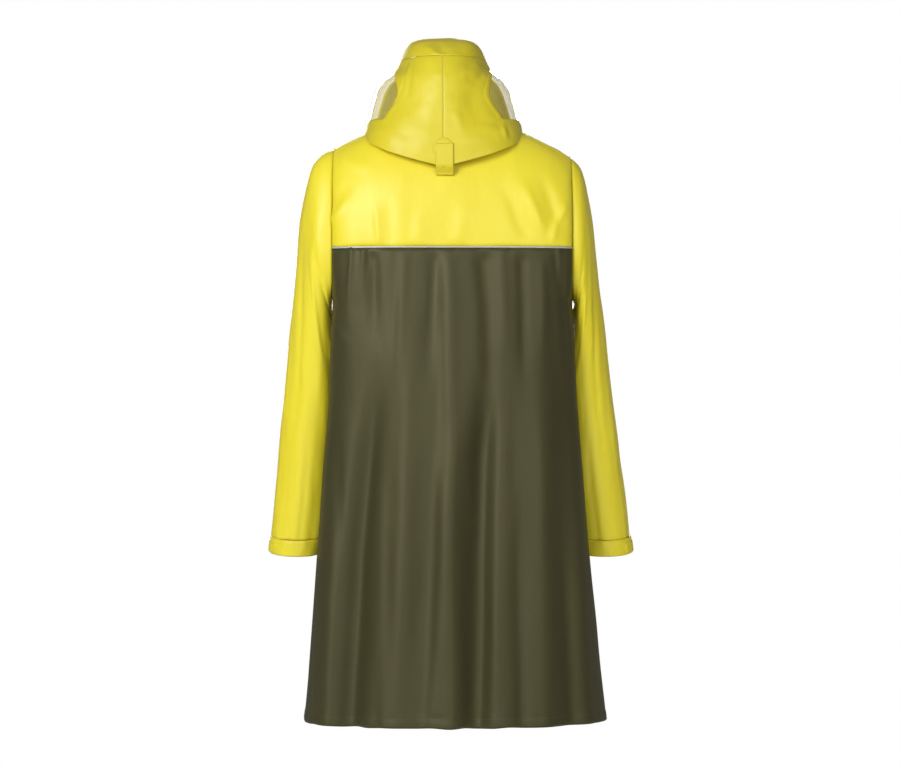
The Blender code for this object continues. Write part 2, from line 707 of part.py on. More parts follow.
def hood_window_grid(sign):
    columns = []
    for c in range(SIDE_COLUMNS + 1):
        def angle_at(z, c=c):
            back = by_height(WINDOW_BACK, z) + seam_angle(SLANT_GAP, z)
            far = WINDOW_FRONT - seam_angle(0.5 * GAP, z)
            return back + (far - back) * c / SIDE_COLUMNS
        heights = heights_up()
        heights[0] += GAP
        heights[-1] -= 2 * SLANT_GAP
        columns.append([hood_point(sign, angle_at(z), z) for z in heights])
    return np.array(columns).transpose(1, 0, 2)


def hood_band_grid(sign):
    columns = []
    for c in range(BAND_COLUMNS + 1):
        def angle_at(z, c=c):
            back = WINDOW_FRONT + seam_angle(0.5 * GAP, z)
            return back + (by_height(FACE_EDGE, z) - back) * c / BAND_COLUMNS
        columns.append(hood_column(sign, angle_at))
    return np.array(columns).transpose(1, 0, 2)


def roof_grid():
    """The roof and brim: rows from the back seam to the brim, columns from left to right."""
    far = by_height(FACE_EDGE, ROOF_SEAM_Z)
    turn = math.radians(ROOF_CORNER)
    bow_low = math.cos(turn)
    low_z = ROOF_SEAM_Z + 0.5 * GAP
    rows = []
    for r in range(ROOF_ROWS + 1):
        t = r / ROOF_ROWS
        angle = ROOF_CORNER + (far - ROOF_CORNER) * t
        crown_y = along(CROWN["t"], CROWN["y"], 100 * t) * MM
        crown_z = along(CROWN["t"], CROWN["z"], 100 * t) * MM
        row = []
        for c in range(ROOF_COLUMNS + 1):
            place = 1.0 - 2.0 * c / ROOF_COLUMNS
            sign = 1.0 if place >= 0 else -1.0
            edge = hood_point(sign, angle, low_z)
            rise = along(ROOF_ARCH["place"], ROOF_ARCH["rise"], 100 * abs(place)) / 100
            wide = along(ROOF_ARCH["place"], ROOF_ARCH["wide"], 100 * abs(place)) / 100
            bow = (math.sqrt(1.0 - (wide * math.sin(turn)) ** 2) - bow_low) / (1.0 - bow_low)
            p = np.array([HOOD_X + (edge[0] - HOOD_X) * wide,
                          edge[1] + (crown_y - edge[1]) * bow,
                          edge[2] + (crown_z - edge[2]) * rise])
            if r == 0:
                p = np.array(hood_point(sign, ROOF_CORNER * abs(place), low_z))
            row.append(p.tolist())
        rows.append(row)
    return np.array(rows)


def hood_back_at(x, z):
    """A point of the hood's back at a place across it and a height."""
    part = (x - HOOD_X) / table(HOOD, "half", z)
    angle = math.degrees(math.asin(abs(part)))
    return hood_point(math.copysign(1.0, part), angle, z)


def patch_grid():
    """A round patch on the hood's centre back."""
    rows = []
    for r in range(PATCH_CELLS + 1):
        row = []
        for c in range(PATCH_CELLS + 1):
            v = 1.0 - 2.0 * r / PATCH_CELLS
            u = 1.0 - 2.0 * c / PATCH_CELLS
            x = HOOD_X + PATCH_RADIUS * u * math.sqrt(1.0 - v * v / 2)
            z = PATCH_Z + PATCH_RADIUS * v * math.sqrt(1.0 - u * u / 2)
            row.append(hood_back_at(x, z))
        rows.append(row)
    return np.array(rows)


def tab_grid():
    """The loop: down over the hood's fold, round below it and back up behind."""
    across = [TAB_X + TAB_WIDTH * (0.5 - c / TAB_COLUMNS) for c in range(TAB_COLUMNS + 1)]
    lip = lip_z(1.0, 0.0)
    first = lip + TAB_LEAVES
    rows = []
    for i in range(TAB_ROWS + 1):
        z = TAB_TOP_Z + (first - TAB_TOP_Z) * i / TAB_ROWS
        rows.append([hood_back_at(x, z) for x in across])
    last = rows[-1]
    bend = TAB_LOW_Z + TAB_TURN
    for turn in (0, 60, 120, 180):
        back = TAB_TURN * (1.0 - math.cos(math.radians(turn)))
        low = bend - TAB_TURN * math.sin(math.radians(turn))
        rows.append([[p[0], p[1] - back, low] for p in last])
    rows.append([[p[0], p[1] - TAB_BEHIND, lip - TAB_ENDS] for p in last])
    return np.array(rows)


# ---- the poncho ------------------------------------------------------------------------------
def piping_grid():
    """The strip over the back yoke's seam."""
    places = column_places(BACK_COLUMNS)
    upper = yoke_grid(True, BACK_YOKE_ROWS)[0]
    rows = []
    for z in (YOKE_SEAM_Z + PIPING_HALF, YOKE_SEAM_Z, YOKE_SEAM_Z - PIPING_HALF):
        row = []
        for i, u in enumerate(places):
            if z > YOKE_SEAM_Z:
                row.append([upper[i][0], upper[i][1], z])
            else:
                p = body_point(u, YOKE_SEAM_Z, True)
                row.append([p[0], p[1], z])
        rows.append(row)
    return np.array(rows)


def build():
    clear_scene()
    yellow = make_material("yellow coated cloth", YELLOW, 0.45)
    olive = make_material("olive coated cloth", OLIVE, 0.5)
    silver = make_material("reflective piping", SILVER, 0.35, 0.2)
    clear = make_material("clear film", CLEAR, 0.1)

    seam_up = {"first row": Z_AXIS, "last row": Y_AXIS}
    wall("back_yoke", yoke_grid(True, BACK_YOKE_ROWS), CLOTH, yellow, ends=seam_up)
    wall("front_yoke", yoke_grid(False, FRONT_YOKE_ROWS), CLOTH, yellow, flip=True, ends=seam_up)
    seam_side = {"first row": Z_AXIS, "first column": Y_AXIS, "last column": Y_AXIS}
    wall("back_panel", panel_grid(True, BACK_PANEL_ROWS), CLOTH, olive, flip=True, ends=seam_side)
    wall("front_panel", panel_grid(False, FRONT_PANEL_ROWS), CLOTH, olive, ends=seam_side)
    wall("piping", piping_grid(), PIPING_CLOTH, silver, lift=LAID_ON, flip=True)
    for side, sign in (("left", 1.0), ("right", -1.0)):
        left = sign > 0
        wall("sleeve_" + side, sleeve_grid(side), CLOTH, yellow, closed=True, flip=left,
             ends={"first row": X_AXIS})
        wall("cuff_" + side, cuff_grid(side), CLOTH, yellow, closed=True, flip=left)
        wall("cuff_tab_" + side, cuff_tab_grid(side), TAB_CLOTH, yellow, lift=LAID_ON, flip=left)
        wall("hood_back_" + side, hood_back_grid(sign), CLOTH, yellow, flip=left, keep=is_back_panel,
             ends={"first column": X_AXIS, "last row": hood_outward, "last column": along_band(sign)})
        wall("hood_window_" + side, hood_window_grid(sign), FILM, clear, flip=left,
             ends={"last row": hood_outward, "first row": hood_outward,
                   "last column": along_band(sign)})
        wall("hood_face_band_" + side, hood_band_grid(sign), CLOTH, yellow, flip=left,
             ends={"last row": hood_outward, "first column": along_band(sign),
                   "last column": throat_outward})
    wall("hood_top", roof_grid(), CLOTH, yellow,
         ends={"first column": hood_outward, "last column": hood_outward,
               "first row": hood_outward})
    wall("hood_tab_patch", patch_grid(), PATCH_CLOTH, yellow, lift=LAID_ON, flip=True)
    wall("hood_tab", tab_grid(), TAB_CLOTH, yellow, lift=LAID_ON + PATCH_CLOTH + LAID_ON, flip=True)


build()
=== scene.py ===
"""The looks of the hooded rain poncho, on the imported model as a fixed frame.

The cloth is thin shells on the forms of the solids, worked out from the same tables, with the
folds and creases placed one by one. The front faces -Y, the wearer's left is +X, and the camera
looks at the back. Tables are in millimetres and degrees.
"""
import math

import bpy
import numpy as np
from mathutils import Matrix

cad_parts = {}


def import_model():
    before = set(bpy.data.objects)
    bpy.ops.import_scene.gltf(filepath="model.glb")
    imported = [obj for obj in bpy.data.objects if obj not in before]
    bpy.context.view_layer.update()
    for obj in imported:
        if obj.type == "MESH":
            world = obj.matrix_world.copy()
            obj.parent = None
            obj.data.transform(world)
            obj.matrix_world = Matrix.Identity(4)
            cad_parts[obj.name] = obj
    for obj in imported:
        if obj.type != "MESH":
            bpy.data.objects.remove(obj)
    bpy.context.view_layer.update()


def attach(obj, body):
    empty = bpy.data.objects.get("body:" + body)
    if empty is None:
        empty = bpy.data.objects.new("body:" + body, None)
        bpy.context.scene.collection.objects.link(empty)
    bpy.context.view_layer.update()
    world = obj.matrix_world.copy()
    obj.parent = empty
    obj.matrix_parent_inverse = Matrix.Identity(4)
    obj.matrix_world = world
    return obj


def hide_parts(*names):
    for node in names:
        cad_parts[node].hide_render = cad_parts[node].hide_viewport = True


MM = 0.001
GAP = 0.3 * MM            # space between two solids at a seam
THIN = 0.6 * MM           # cloth as it shows at an edge
FILM_THIN = 0.4 * MM

# ---- the form, as in the solids ----------------------------------------------------------------
YOKE_SEAM_Z = -192 * MM
HEM_Z = -1034 * MM
ARMPIT_Z = -285 * MM
BODY_POWER = 2.35         # squareness of the horizontal sections
ARCH_POWER = 2.3          # squareness of the sections over the shoulder
NECK_BACK = 84 * MM       # neck opening, measured from the origin
NECK_FRONT = 104 * MM
NECK_SIDE = 102 * MM
SHOULDER_SEAM_Y = 30 * MM

# z of the section, its half widths left and right, its depth at the back and at the front
BODY = {
    "z":     [-192, -285, -325, -390, -490, -585, -680, -750, -845, -940, -1034],
    "left":  [202, 204, 206, 208, 212, 219, 225, 230, 238, 247, 255],
    "right": [224, 227, 230, 235, 242, 249, 256, 262, 271, 278, 287],
    "back":  [116, 124, 127, 131, 136, 141, 147, 152, 159, 167, 176],
    "front": [114, 119, 121, 124, 128, 133, 139, 144, 151, 159, 168],
    "dent":  [0, 0, 24, 51, 56, 50, 42, 36, 18, 6, 0],
}
DENT_Y = -45 * MM         # the arms press the sides in here
DENT_REACH = 58 * MM
DENT_SWELL = 0.14         # how much wider the section is beside the dent, for its depth
PRESS_FROM = 0.55         # the dent starts this far out, and is full PRESS_OVER further on
PRESS_OVER = 0.4
RIDGE = {"x": [0, 60, 100, 150, 200, 216, 240], "z": [46, 43, 33, 12, -12, -22, -38]}
ARMHOLE_DEPTH = 70 * MM
UNDERARM_FADE = 300 * MM     # the cloth beside the armhole falls away from it over this height
UNDERARM_BOW = 0.5

# large folds of the long panels: place at the yoke and at the hem, half width and height at the
# hem, and the height where each one begins
BACK_FOLDS = [
    (172, 212, 34, 15, -200),
    (92, 132, 16, 4, -700),
    (56, 88, 30, 11, -230),
    (-14, -6, 24, 16, -200),
    (-88, -92, 34, 6, -300),
    (-172, -168, 30, 13, -210),
    (-214, -246, 17, 8, -420),
]
FRONT_FOLDS = [
    (150, 190, 34, 13, -220),
    (78, 112, 30, 9, -300),
    (8, 24, 28, 14, -220),
    (-70, -78, 32, 10, -260),
    (-146, -172, 30, 13, -220),
]
SIDE_FADE = 0.04
FOLD_TOP_HALF = 0.62
FOLD_TOP_HIGH = 0.18
FOLD_START = 90 * MM
FOLD_HASTE = 1.15

# rings down the left arm: outermost and innermost point, middle and half depth, and how much
# further out and down the right arm's points lie
SLEEVE = {
    "out_x":  [221, 239, 248, 256, 263, 269, 275, 283, 289, 295, 302, 307, 313, 318, 321],
    "out_z":  [-23, -45, -68, -99, -136, -200, -262, -330, -395, -460, -525, -590, -650, -709,
               -738],
    "in_x":   [206, 208, 209, 209, 208, 205, 201, 195, 191, 192, 196, 202, 210, 219, 223],
    "in_z":   [-287, -291, -297, -305, -316, -337, -364, -401, -443, -489, -541, -598, -654, -710,
               -739],
    "mid_y":  [0, -1, -3, -6, -10, -18, -26, -35, -42, -48, -53, -57, -60, -64, -66],
    "depth":  [70, 70, 70, 69, 68, 66, 64, 62, 60, 58, 56, 54, 52, 50, 50],
    "right_out":  [9, 1, 0, 0, 0, 1, 2, 4, 5, 7, 9, 12, 15, 17, 18],
    "right_in":   [25, 25, 25, 25, 25, 25, 25, 24, 22, 20, 18, 17, 17, 18, 18],
    "right_drop": [11, 2, 0, 0, 0, 0, 0, 0, 0, 0, 0, 0, 0, 0, 0],
}
SLEEVE_TILT = 0.15
ARMHOLE_SHARE = (0.75, 0.5, 0.25)
CUFF_TAB_DOWNS = (0.30, 0.95)
CUFF_TAB_ANGLES = (-30, 44)

HOOD_X = 4.5 * MM
HOOD_MID_Y = -32 * MM
NECK_LEAD = math.radians(23)
NECK_OUT = 1.5 * MM
NECK_LIFT = 1.0 * MM
LIP_CLEAR = 5 * MM
LIP_ROUND = 4 * MM
HOOD = {
    "z":      [-90, -10, 10, 30, 52, 74, 96, 112, 124, 132, 145, 158],
    "half":   [150, 147, 145, 139, 131, 124, 116, 106, 93, 85, 80, 74],
    "back":   [150, 150, 148, 145, 142, 139, 135, 131, 126, 122, 113, 102],
    "front":  [92, 92, 92, 94, 98, 102, 106, 108, 109, 110, 110, 110],
    "square": [310, 310, 300, 265, 230, 205, 200, 200, 200, 200, 200, 200],
}
LIP = {"angle": [0, 30, 50, 70, 90, 110, 130, 150, 180],
       "z":     [-52, -32, -17, -1, 22, 8, -26, -58, -82]}
FACE_EDGE = {"z": [-90, 15, 28, 45, 75, 110, 160],
             "angle": [179.9, 179.9, 172, 158, 146, 140, 138]}
WINDOW_BACK = {"z": [30, 40, 60, 80, 110, 131, 160], "angle": [50, 50, 45, 42, 52, 74, 74]}
WINDOW_FRONT = 112
WINDOW_LOW_Z = 38 * MM
WINDOW_TOP_Z = 131 * MM
ROOF_SEAM_Z = 150 * MM
ROOF_CORNER = 40
CROWN = {"t": [0, 12.5, 25, 50, 75, 100], "y": [77, 54, 27, -34, -96, -136],
         "z": [150, 168, 181, 191, 186, 172]}
ROOF_ARCH = {"place": [0, 40, 65, 85, 100], "wide": [0, 45, 72, 90, 100],
             "rise": [100, 96, 82, 45, 0]}

TAB_X = 2 * MM
TAB_WIDTH = 31 * MM
TAB_TOP_Z = -9 * MM
TAB_LOW_Z = -66 * MM
TAB_TURN = 3.5 * MM
TAB_FOLD = 1.5 * MM       # its lower end is pressed nearly flat
TAB_LEAN = 0.80           # and leans in below the hood's fold
TAB_LEAVES = 3 * MM
TAB_BEHIND = 8 * MM
TAB_ENDS = 7 * MM
PATCH_Z = -18 * MM
PATCH_RADIUS = 18 * MM
PIPING_HALF = 1.8 * MM

# ---- small folds and creases -------------------------------------------------------------------
# Each row has the half width, the height (a trough is negative), how much of its first and of its
# last end dies out, and its path: (x, z) seen from behind for the body and the hood.
YOKE_CREASES = [
    (7, 2.7, 0.1, 0.7, (206, -150), (190, -128), (172, -100)),
    (12, -2.7, 0.1, 0.7, (206, -120), (186, -96), (160, -70)),
    (7, 2.4, 0.6, 0.1, (128, -100), (122, -140), (118, -190)),
    (11, -2.1, 0.6, 0.1, (104, -96), (100, -140), (97, -190)),
    (14, 2.2, 0.7, 0.1, (40, -110), (46, -150), (52, -190)),
    (14, 2.1, 0.7, 0.1, (-40, -96), (-30, -140), (-20, -190)),
    (10, 3.9, 0.5, 0.3, (-128, -58), (-150, -110), (-178, -176)),
    (12, -3.6, 0.5, 0.3, (-160, -50), (-182, -100), (-204, -168)),
    (13, -3.3, 0.5, 0.2, (-96, -66), (-120, -120), (-146, -186)),
    (7, 2.4, 0.2, 0.2, (-218, -110), (-196, -150), (-186, -190)),
    (14, 2.4, 0.2, 0.6, (196, -30), (160, -44), (120, -50)),
]
BACK_CREASES = [
    (5, 2, 0, 0.8, (166, -192), (170, -240), (176, -330)),
    (4, 1.6, 0, 0.9, (146, -192), (147, -226), (150, -280)),
    (3, -1.4, 0, 0.9, (137, -192), (137, -214), (139, -250)),
    (12, -4.6, 0.1, 0.7, (130, -192), (128, -250), (124, -400)),
    (10, 2.2, 0.1, 0.6, (72, -192), (78, -300), (92, -520)),
    (11, -4, 0.1, 0.6, (20, -192), (24, -300), (32, -470)),
    (11, 3, 0.1, 0.5, (-4, -192), (-4, -320), (-4, -560)),
    (15, -6, 0.1, 0.3, (-64, -192), (-74, -300), (-80, -460)),
    (9, 2.2, 0.1, 0.6, (-98, -192), (-102, -290), (-106, -430)),
    (11, -4.4, 0.1, 0.6, (-134, -192), (-137, -300), (-140, -470)),
    (10, 2.4, 0.2, 0.5, (-168, -192), (-172, -300), (-170, -430)),
    (9, -3.4, 0.1, 0.5, (-194, -192), (-210, -300), (-220, -440)),
    (6, 2.2, 0, 0.8, (-200, -192), (-202, -240), (-206, -320)),
    (8, 0.8, 0.2, 0.6, (-214, -330), (-196, -352), (-168, -362)),
    (8, 1.8, 0.2, 0.6, (200, -330), (186, -352), (164, -360)),
    (12, -3, 0.4, 0.4, (196, -470), (190, -640), (196, -820)),
    (14, 4.5, 0.4, 0, (184, -560), (204, -800), (212, -1034)),
    (19, -16, 0.35, 0, (116, -380), (138, -560), (153, -733), (160, -877), (170, -1034)),
    (12, 2.6, 0.5, 0, (116, -500), (112, -700), (110, -1034)),
    (15, 5.5, 0.3, 0, (0, -500), (5, -733), (12, -877), (23, -1034)),
    (20, -19, 0.3, 0, (-82, -360), (-65, -560), (-60, -733), (-58, -877), (-54, -1034)),
    (12, -3.4, 0.5, 0, (-128, -620), (-132, -820), (-134, -1034)),
    (12, -3.4, 0.5, 0, (-206, -640), (-214, -840), (-222, -1034)),
]
FRONT_CREASES = [
    (8, -2.6, 0.1, 0.7, (120, -192), (116, -260), (112, -360)),
    (10, -3.4, 0.1, 0.6, (44, -192), (48, -300), (56, -480)),
    (9, 2.4, 0.1, 0.6, (-30, -192), (-34, -290), (-38, -440)),
    (10, -3, 0.1, 0.6, (-104, -192), (-108, -280), (-114, -430)),
    (7, -2.4, 0, 0.8, (-182, -192), (-186, -250), (-190, -340)),
    (8, 2, 0.2, 0.6, (-214, -330), (-192, -350), (-164, -358)),
    (8, 2, 0.2, 0.6, (196, -326), (180, -350), (156, -356)),
    (13, -3.4, 0.5, 0, (60, -560), (62, -760), (66, -1034)),
    (13, -3.4, 0.5, 0, (-110, -600), (-122, -800), (-130, -1034)),
]
FRONT_YOKE_CREASES = [
    (11, -2, 0.2, 0.5, (190, -150), (160, -110), (120, -60)),
    (11, -2, 0.2, 0.5, (-206, -160), (-170, -110), (-130, -60)),
    (10, 1.6, 0.6, 0.1, (70, -110), (66, -150), (60, -190)),
    (10, 1.6, 0.6, 0.1, (-64, -100), (-70, -150), (-72, -190)),
]
# the arm's paths: (angle round it from its outer side, share of its length)
SLEEVE_CREASES = [
    (9, 2, 0.2, 0.4, (80, 0.1), (110, 0.34), (96, 0.62)),
    (8, -2, 0.3, 0.4, (40, 0.14), (58, 0.42), (60, 0.8)),
    (8, -1.7, 0.2, 0.4, (130, 0.2), (140, 0.46), (128, 0.84)),
    (7, 1.5, 0.4, 0.1, (20, 0.3), (26, 0.6), (24, 0.97)),
    (7, -1.5, 0.4, 0, (86, 0.56), (92, 0.78), (94, 1)),
    (8, 1.7, 0.4, 0, (150, 0.56), (156, 0.8), (150, 1)),
    (7, 1.8, 0.1, 0.7, (170, 0.22), (140, 0.28), (104, 0.3)),
    (6, -1.7, 0.1, 0.7, (186, 0.4), (150, 0.44), (112, 0.43)),
    (7, 1.5, 0.1, 0.7, (196, 0.52), (160, 0.56), (120, 0.6)),
    (7, 1.7, 0.1, 0.7, (-150, 0.24), (-120, 0.3), (-80, 0.3)),
    (7, -1.8, 0.1, 0.7, (-160, 0.44), (-120, 0.48), (-76, 0.44)),
    (9, 1.8, 0.2, 0.3, (-70, 0.16), (-84, 0.46), (-78, 0.86)),
    (8, -1.8, 0.2, 0.2, (-110, 0.2), (-124, 0.5), (-120, 0.92)),
    (8, -1.5, 0.3, 0.2, (-24, 0.2), (-34, 0.5), (-30, 0.94)),
]
# the cloth is fuller under the arm and touches the body there, more so on the right
ARMPIT_FULL = {
    "left": (26, 6.5, 0.05, 0.5, (180, 0), (180, 0.14), (180, 0.34)),
    "right": (26, 12.5, 0.03, 0.6, (180, 0), (180, 0.12), (180, 0.4)),
}
HOOD_CREASES = [
    (5, 1.6, 0.1, 0.4, (64, 138), (74, 112), (82, 74)),
    (5, -1.6, 0.2, 0.5, (60, 128), (66, 100), (70, 62)),
    (12, 1.4, 0.5, 0.5, (26, 126), (10, 112), (-4, 96)),
    (8, 1.8, 0.4, 0.1, (-20, 120), (-46, 122), (-62, 134)),
    (8, -2.2, 0.4, 0.2, (-30, 112), (-54, 106), (-70, 118)),
    (9, 2.2, 0.4, 0.5, (-14, 58), (-22, 34), (-30, 6)),
    (7, -1.8, 0.5, 0.2, (-46, 34), (-78, 30), (-104, 22)),
    (6, 1.5, 0.5, 0.2, (-52, 24), (-84, 18), (-116, 12)),
    (12, -1.4, 0.3, 0.5, (118, 22), (84, 14), (40, -8)),
    (8, 1.2, 0.3, 0.3, (60, -20), (30, -34), (8, -40)),
    (12, 1.6, 0.4, 0.5, (-20, -10), (-50, -6), (-84, 4)),
    (3, -1.8, 0.05, 0.4, (70, 142), (76, 96), (86, 70), (104, 52)),
    (3, -1.8, 0.05, 0.4, (-63, 140), (-78, 131), (-98, 112)),
    (4, 1.8, 0.4, 0.3, (-98, 30), (-103, 14), (-108, -2)),
    (4, -1.8, 0.4, 0.3, (-108, 26), (-113, 12), (-118, 2)),
]
# place x and z, half sizes across and up, lean, depth
HOOD_DENTS = [
    (-50, 62, 24, 40, -14, 7),
    (60, 40, 24, 44, 10, 2.5),
    (36, 118, 16, 14, 0, 1.6),
    (-36, 130, 14, 12, 0, 1.4),
]
# the roof's paths: (x, 100 less the distance forward from its back seam)
ROOF_CREASES = [
    (8, 2.4, 0.5, 0.2, (40, 60), (22, 92), (12, 102)),
    (9, -2, 0.5, 0.2, (18, 40), (8, 74), (2, 100)),
    (12, 1.6, 0.4, 0.4, (-30, -80), (-12, -40), (-8, 20)),
]

# ---- sizes of the finish -----------------------------------------------------------------------
BORDERS = ("first row", "last row", "first column", "last column")      # of a grid of points
STITCH = {"long": 2.4 * MM, "pitch": 3.4 * MM, "wide": 0.55 * MM, "proud": 0.25 * MM}
HEM_SWELL = 0.7 * MM      # the turned-up hem stands proud by another thickness of cloth
SEAM_GROOVE = 0.6 * MM    # how deep a seam draws the cloth in
SEAM_REACH = 3.5 * MM     # and how far on each side of it
SLEEVE_GROOVE = 1.4 * MM  # the depth at a sleeve's two seams
CUFF_SEAM = (1.4 * MM, 3 * MM)     # depth and reach at the seam of a cuff
HOOD_SEAM = (0.7 * MM, 3 * MM)     # and at the hood's seams
TURN_IN = 4.0 * MM        # seam allowance that goes in behind the seam
TURN_START = 0.3 * MM     # how deep its first line lies
TURN_IN_ENDS = 10 * MM    # it is shallower this near to its ends
# ripples beside a seam or a hem: distance from it, height, length, reach (millimetres)
PUCKERS = {"gathers": (0.0, 0.9, 11, 16), "hem": (16.5, 0.7, 13, 7),
           "hem edge": (0.0, 1.0, 30, 30), "yoke": (0.0, 0.5, 14, 12)}
HEM_STITCH = PUCKERS["hem"][0] * MM
HEM_FOLD = (1.5 * MM, 3 * MM)      # the hem ends this far beyond its stitches, over this width
HEM_GROOVE = (0.5 * MM, 1.6 * MM)  # depth and half width
PUCKER_LONG = 9 * MM
PUCKER_SLANT = 0.35
# how near to a border the creases die out
PANEL_FADE = 14 * MM
YOKE_SIDE_FADE = 9 * MM
YOKE_TOP_FADE = 20 * MM
SLEEVE_FADE = 30 * MM
BAND_FADE = 10 * MM
PANEL_CALM = 260 * MM     # the panels are smoother in this height below the yokes
WRIST_GATHERS = 0.9       # height in millimetres of the gathers above a cuff, and their reach
WRIST_REACH = 22 * MM
# distances of the stitches from the edges; the hem's is above
EDGE_STITCH = 3 * MM
YOKE_STITCH = 3.4 * MM
SLEEVE_STITCH = 6 * MM
CUFF_STITCH = 2.4 * MM
TAB_STITCH = 2 * MM
PATCH_STITCH = 2.6 * MM
FACE_STITCH = 9 * MM
# how far pieces that lie on others stand proud, and how thick they show
PIPING_PROUD = 1.1 * MM
PIPING_LIFT = 0.4 * MM
PIPING_THICK = 0.4 * MM
CUFF_PROUD = 1.2 * MM
CUFF_THICK = 1.4 * MM
CUFF_TAB_THICK = 1.0 * MM
CUFF_TAB_ROUND = 0.86     # its end is round beyond this share of its length
CUFF_TAB_TIP = 0.25       # and keeps this share of its width at the tip
# how high it lies on the cuff, and the height and the last angle of the wave along it
CUFF_TAB_WAVE = (2.6 * MM, 0.5 * MM, 5.0)
TAB_PROUD = 2.8 * MM      # the hood's tab
TAB_THICK = 1.2 * MM
PATCH_PROUD = 1.5 * MM
PATCH_GROOVE = 0.8 * MM
PATCH_GROOVE_AT = (0.84, 0.05)     # place and half width, as shares of the radius
PATCH_EDGE = 0.9                   # the patch falls off to its edge from here
# open edges are rounded off: depth and reach
WORN = {"cuff": (0.8 * MM, 0.8 * MM), "cuff tab": (0.5 * MM, 0.9 * MM),
        "hood tab": (0.7 * MM, 0.9 * MM)}
WINDOW_STRIP = 11 * MM    # width of the strip that holds the window
WINDOW_PROUD = 0.9 * MM
WINDOW_STITCH = (2.5 * MM, 0.5 * MM, 1.2 * MM)   # its groove: distance, depth, half width
FILM_BULGE = 4 * MM
FILM_FULL = 0.7           # below 1 the bulge is fuller towards the window's edges
FILM_BEHIND = 0.7 * MM

# ---- which pieces there are: fineness (columns, rows) and seed of each -------------------------
SIGN = {"left": 1.0, "right": -1.0}     # of x on the wearer's left and right
PANELS = (("back_panel", True, (210, 190), BACK_CREASES, 11),
          ("front_panel", False, (170, 170), FRONT_CREASES, 31))
YOKES = (("back_yoke", True, (180, 56), YOKE_CREASES, 51),
         ("front_yoke", False, (150, 64), FRONT_YOKE_CREASES, 71))
# how far the creases are turned round the arm (degrees) and moved down it (a share), and the seed
SLEEVES = (("left", 0.0, 0.0, 91), ("right", 9.0, 0.05, 111))
HOOD_SIDES = (("left", 98), ("right", 118))
SLEEVE_GRID = (108, 168)
ROOF_GRID = (84, 84)
ROOF_SEED = 131
HOOD_BACK_COLUMNS = (56, 40)       # up to the window, and along it
BAND_COLUMNS = 44
WINDOW_COLUMNS = 48
CUFF_ROWS = 15
CUFF_START = 0.01                  # the share of its length where its grid begins
CUFF_TAB_GRID = (31, 9)
PIPING_GRID = (180, 9)
PATCH_GRID = (64, 15)
PATCH_MIDDLE = 0.02                # the share of its radius where its grid begins
TAB_COLUMNS = 25
TAB_ROWS = (16, 10, 9)             # on the hood, below its fold, and round the tab's own fold
ARMHOLE_ROWS = 22


# ---- curves and noise --------------------------------------------------------------------------
LATTICE = 61              # points each way in the noise, which repeats beyond them
LATTICE_START = 500.0     # keeps every place in it positive


def hermite(t, step, first, last, leaving, arriving):
    """A smooth curve from first to last with these slopes, for t from 0 to 1."""
    return ((2 * t**3 - 3 * t**2 + 1) * first + (t**3 - 2 * t**2 + t) * step * leaving
            + (3 * t**2 - 2 * t**3) * last + (t**3 - t**2) * step * arriving)


def along(xs, ys, x):
    """A smooth curve through the points (xs, ys) that never overshoots them."""
    xs = np.asarray(xs, float)
    ys = np.asarray(ys, float)
    if xs[0] > xs[-1]:
        xs = xs[::-1]
        ys = ys[::-1]
    x = np.clip(x, xs[0], xs[-1])
    step = np.diff(xs)
    slope = np.diff(ys) / step
    tangent = np.concatenate([slope[:1], np.zeros(len(xs) - 2), slope[-1:]])
    product = slope[:-1] * slope[1:]
    total = slope[:-1] + slope[1:]
    rising = product > 0
    tangent[1:-1][rising] = 2.0 * product[rising] / total[rising]
    i = np.clip(np.searchsorted(xs, x, side="right") - 1, 0, len(step) - 1)
    t = (x - xs[i]) / step[i]
    return hermite(t, step[i], ys[i], ys[i + 1], tangent[i], tangent[i + 1])


def table(rows, column, z):
    return along(rows["z"], rows[column], np.asarray(z) / MM) * MM


def smooth_step(t):
    t = np.clip(t, 0.0, 1.0)
    return t * t * (3.0 - 2.0 * t)


def power(value, exponent):
    """A power that keeps the sign."""
    return np.sign(value) * np.abs(value) ** exponent


def unevenness(a, b, size_a, size_b, seed):
    """Smooth, repeatable unevenness from -1 to 1, of the given sizes along a and b."""
    lattice = np.random.default_rng(seed).uniform(-1.0, 1.0, (LATTICE, LATTICE))
    i = np.asarray(a) / size_a + LATTICE_START
    j = np.asarray(b) / size_b + LATTICE_START
    i0 = np.floor(i).astype(int)
    j0 = np.floor(j).astype(int)
    s = smooth_step(i - i0)
    t = smooth_step(j - j0)
    corner = [[lattice[(i0 + p) % LATTICE, (j0 + q) % LATTICE] for q in (0, 1)] for p in (0, 1)]
    return ((1 - s) * ((1 - t) * corner[0][0] + t * corner[0][1])
            + s * ((1 - t) * corner[1][0] + t * corner[1][1]))


def ripples(a, b, seed, *layers):
    """Layers of unevenness, each with its sizes along a and b and its height, in millimetres."""
    return sum(unevenness(a, b, size_a * MM, size_b * MM, seed + i) * high * MM
               for i, (size_a, size_b, high) in enumerate(layers))


def groove(far, at, deep, half):
    """Depth of a groove that runs at a distance from a border."""
    return deep * np.exp(-((far - at) / half) ** 2)


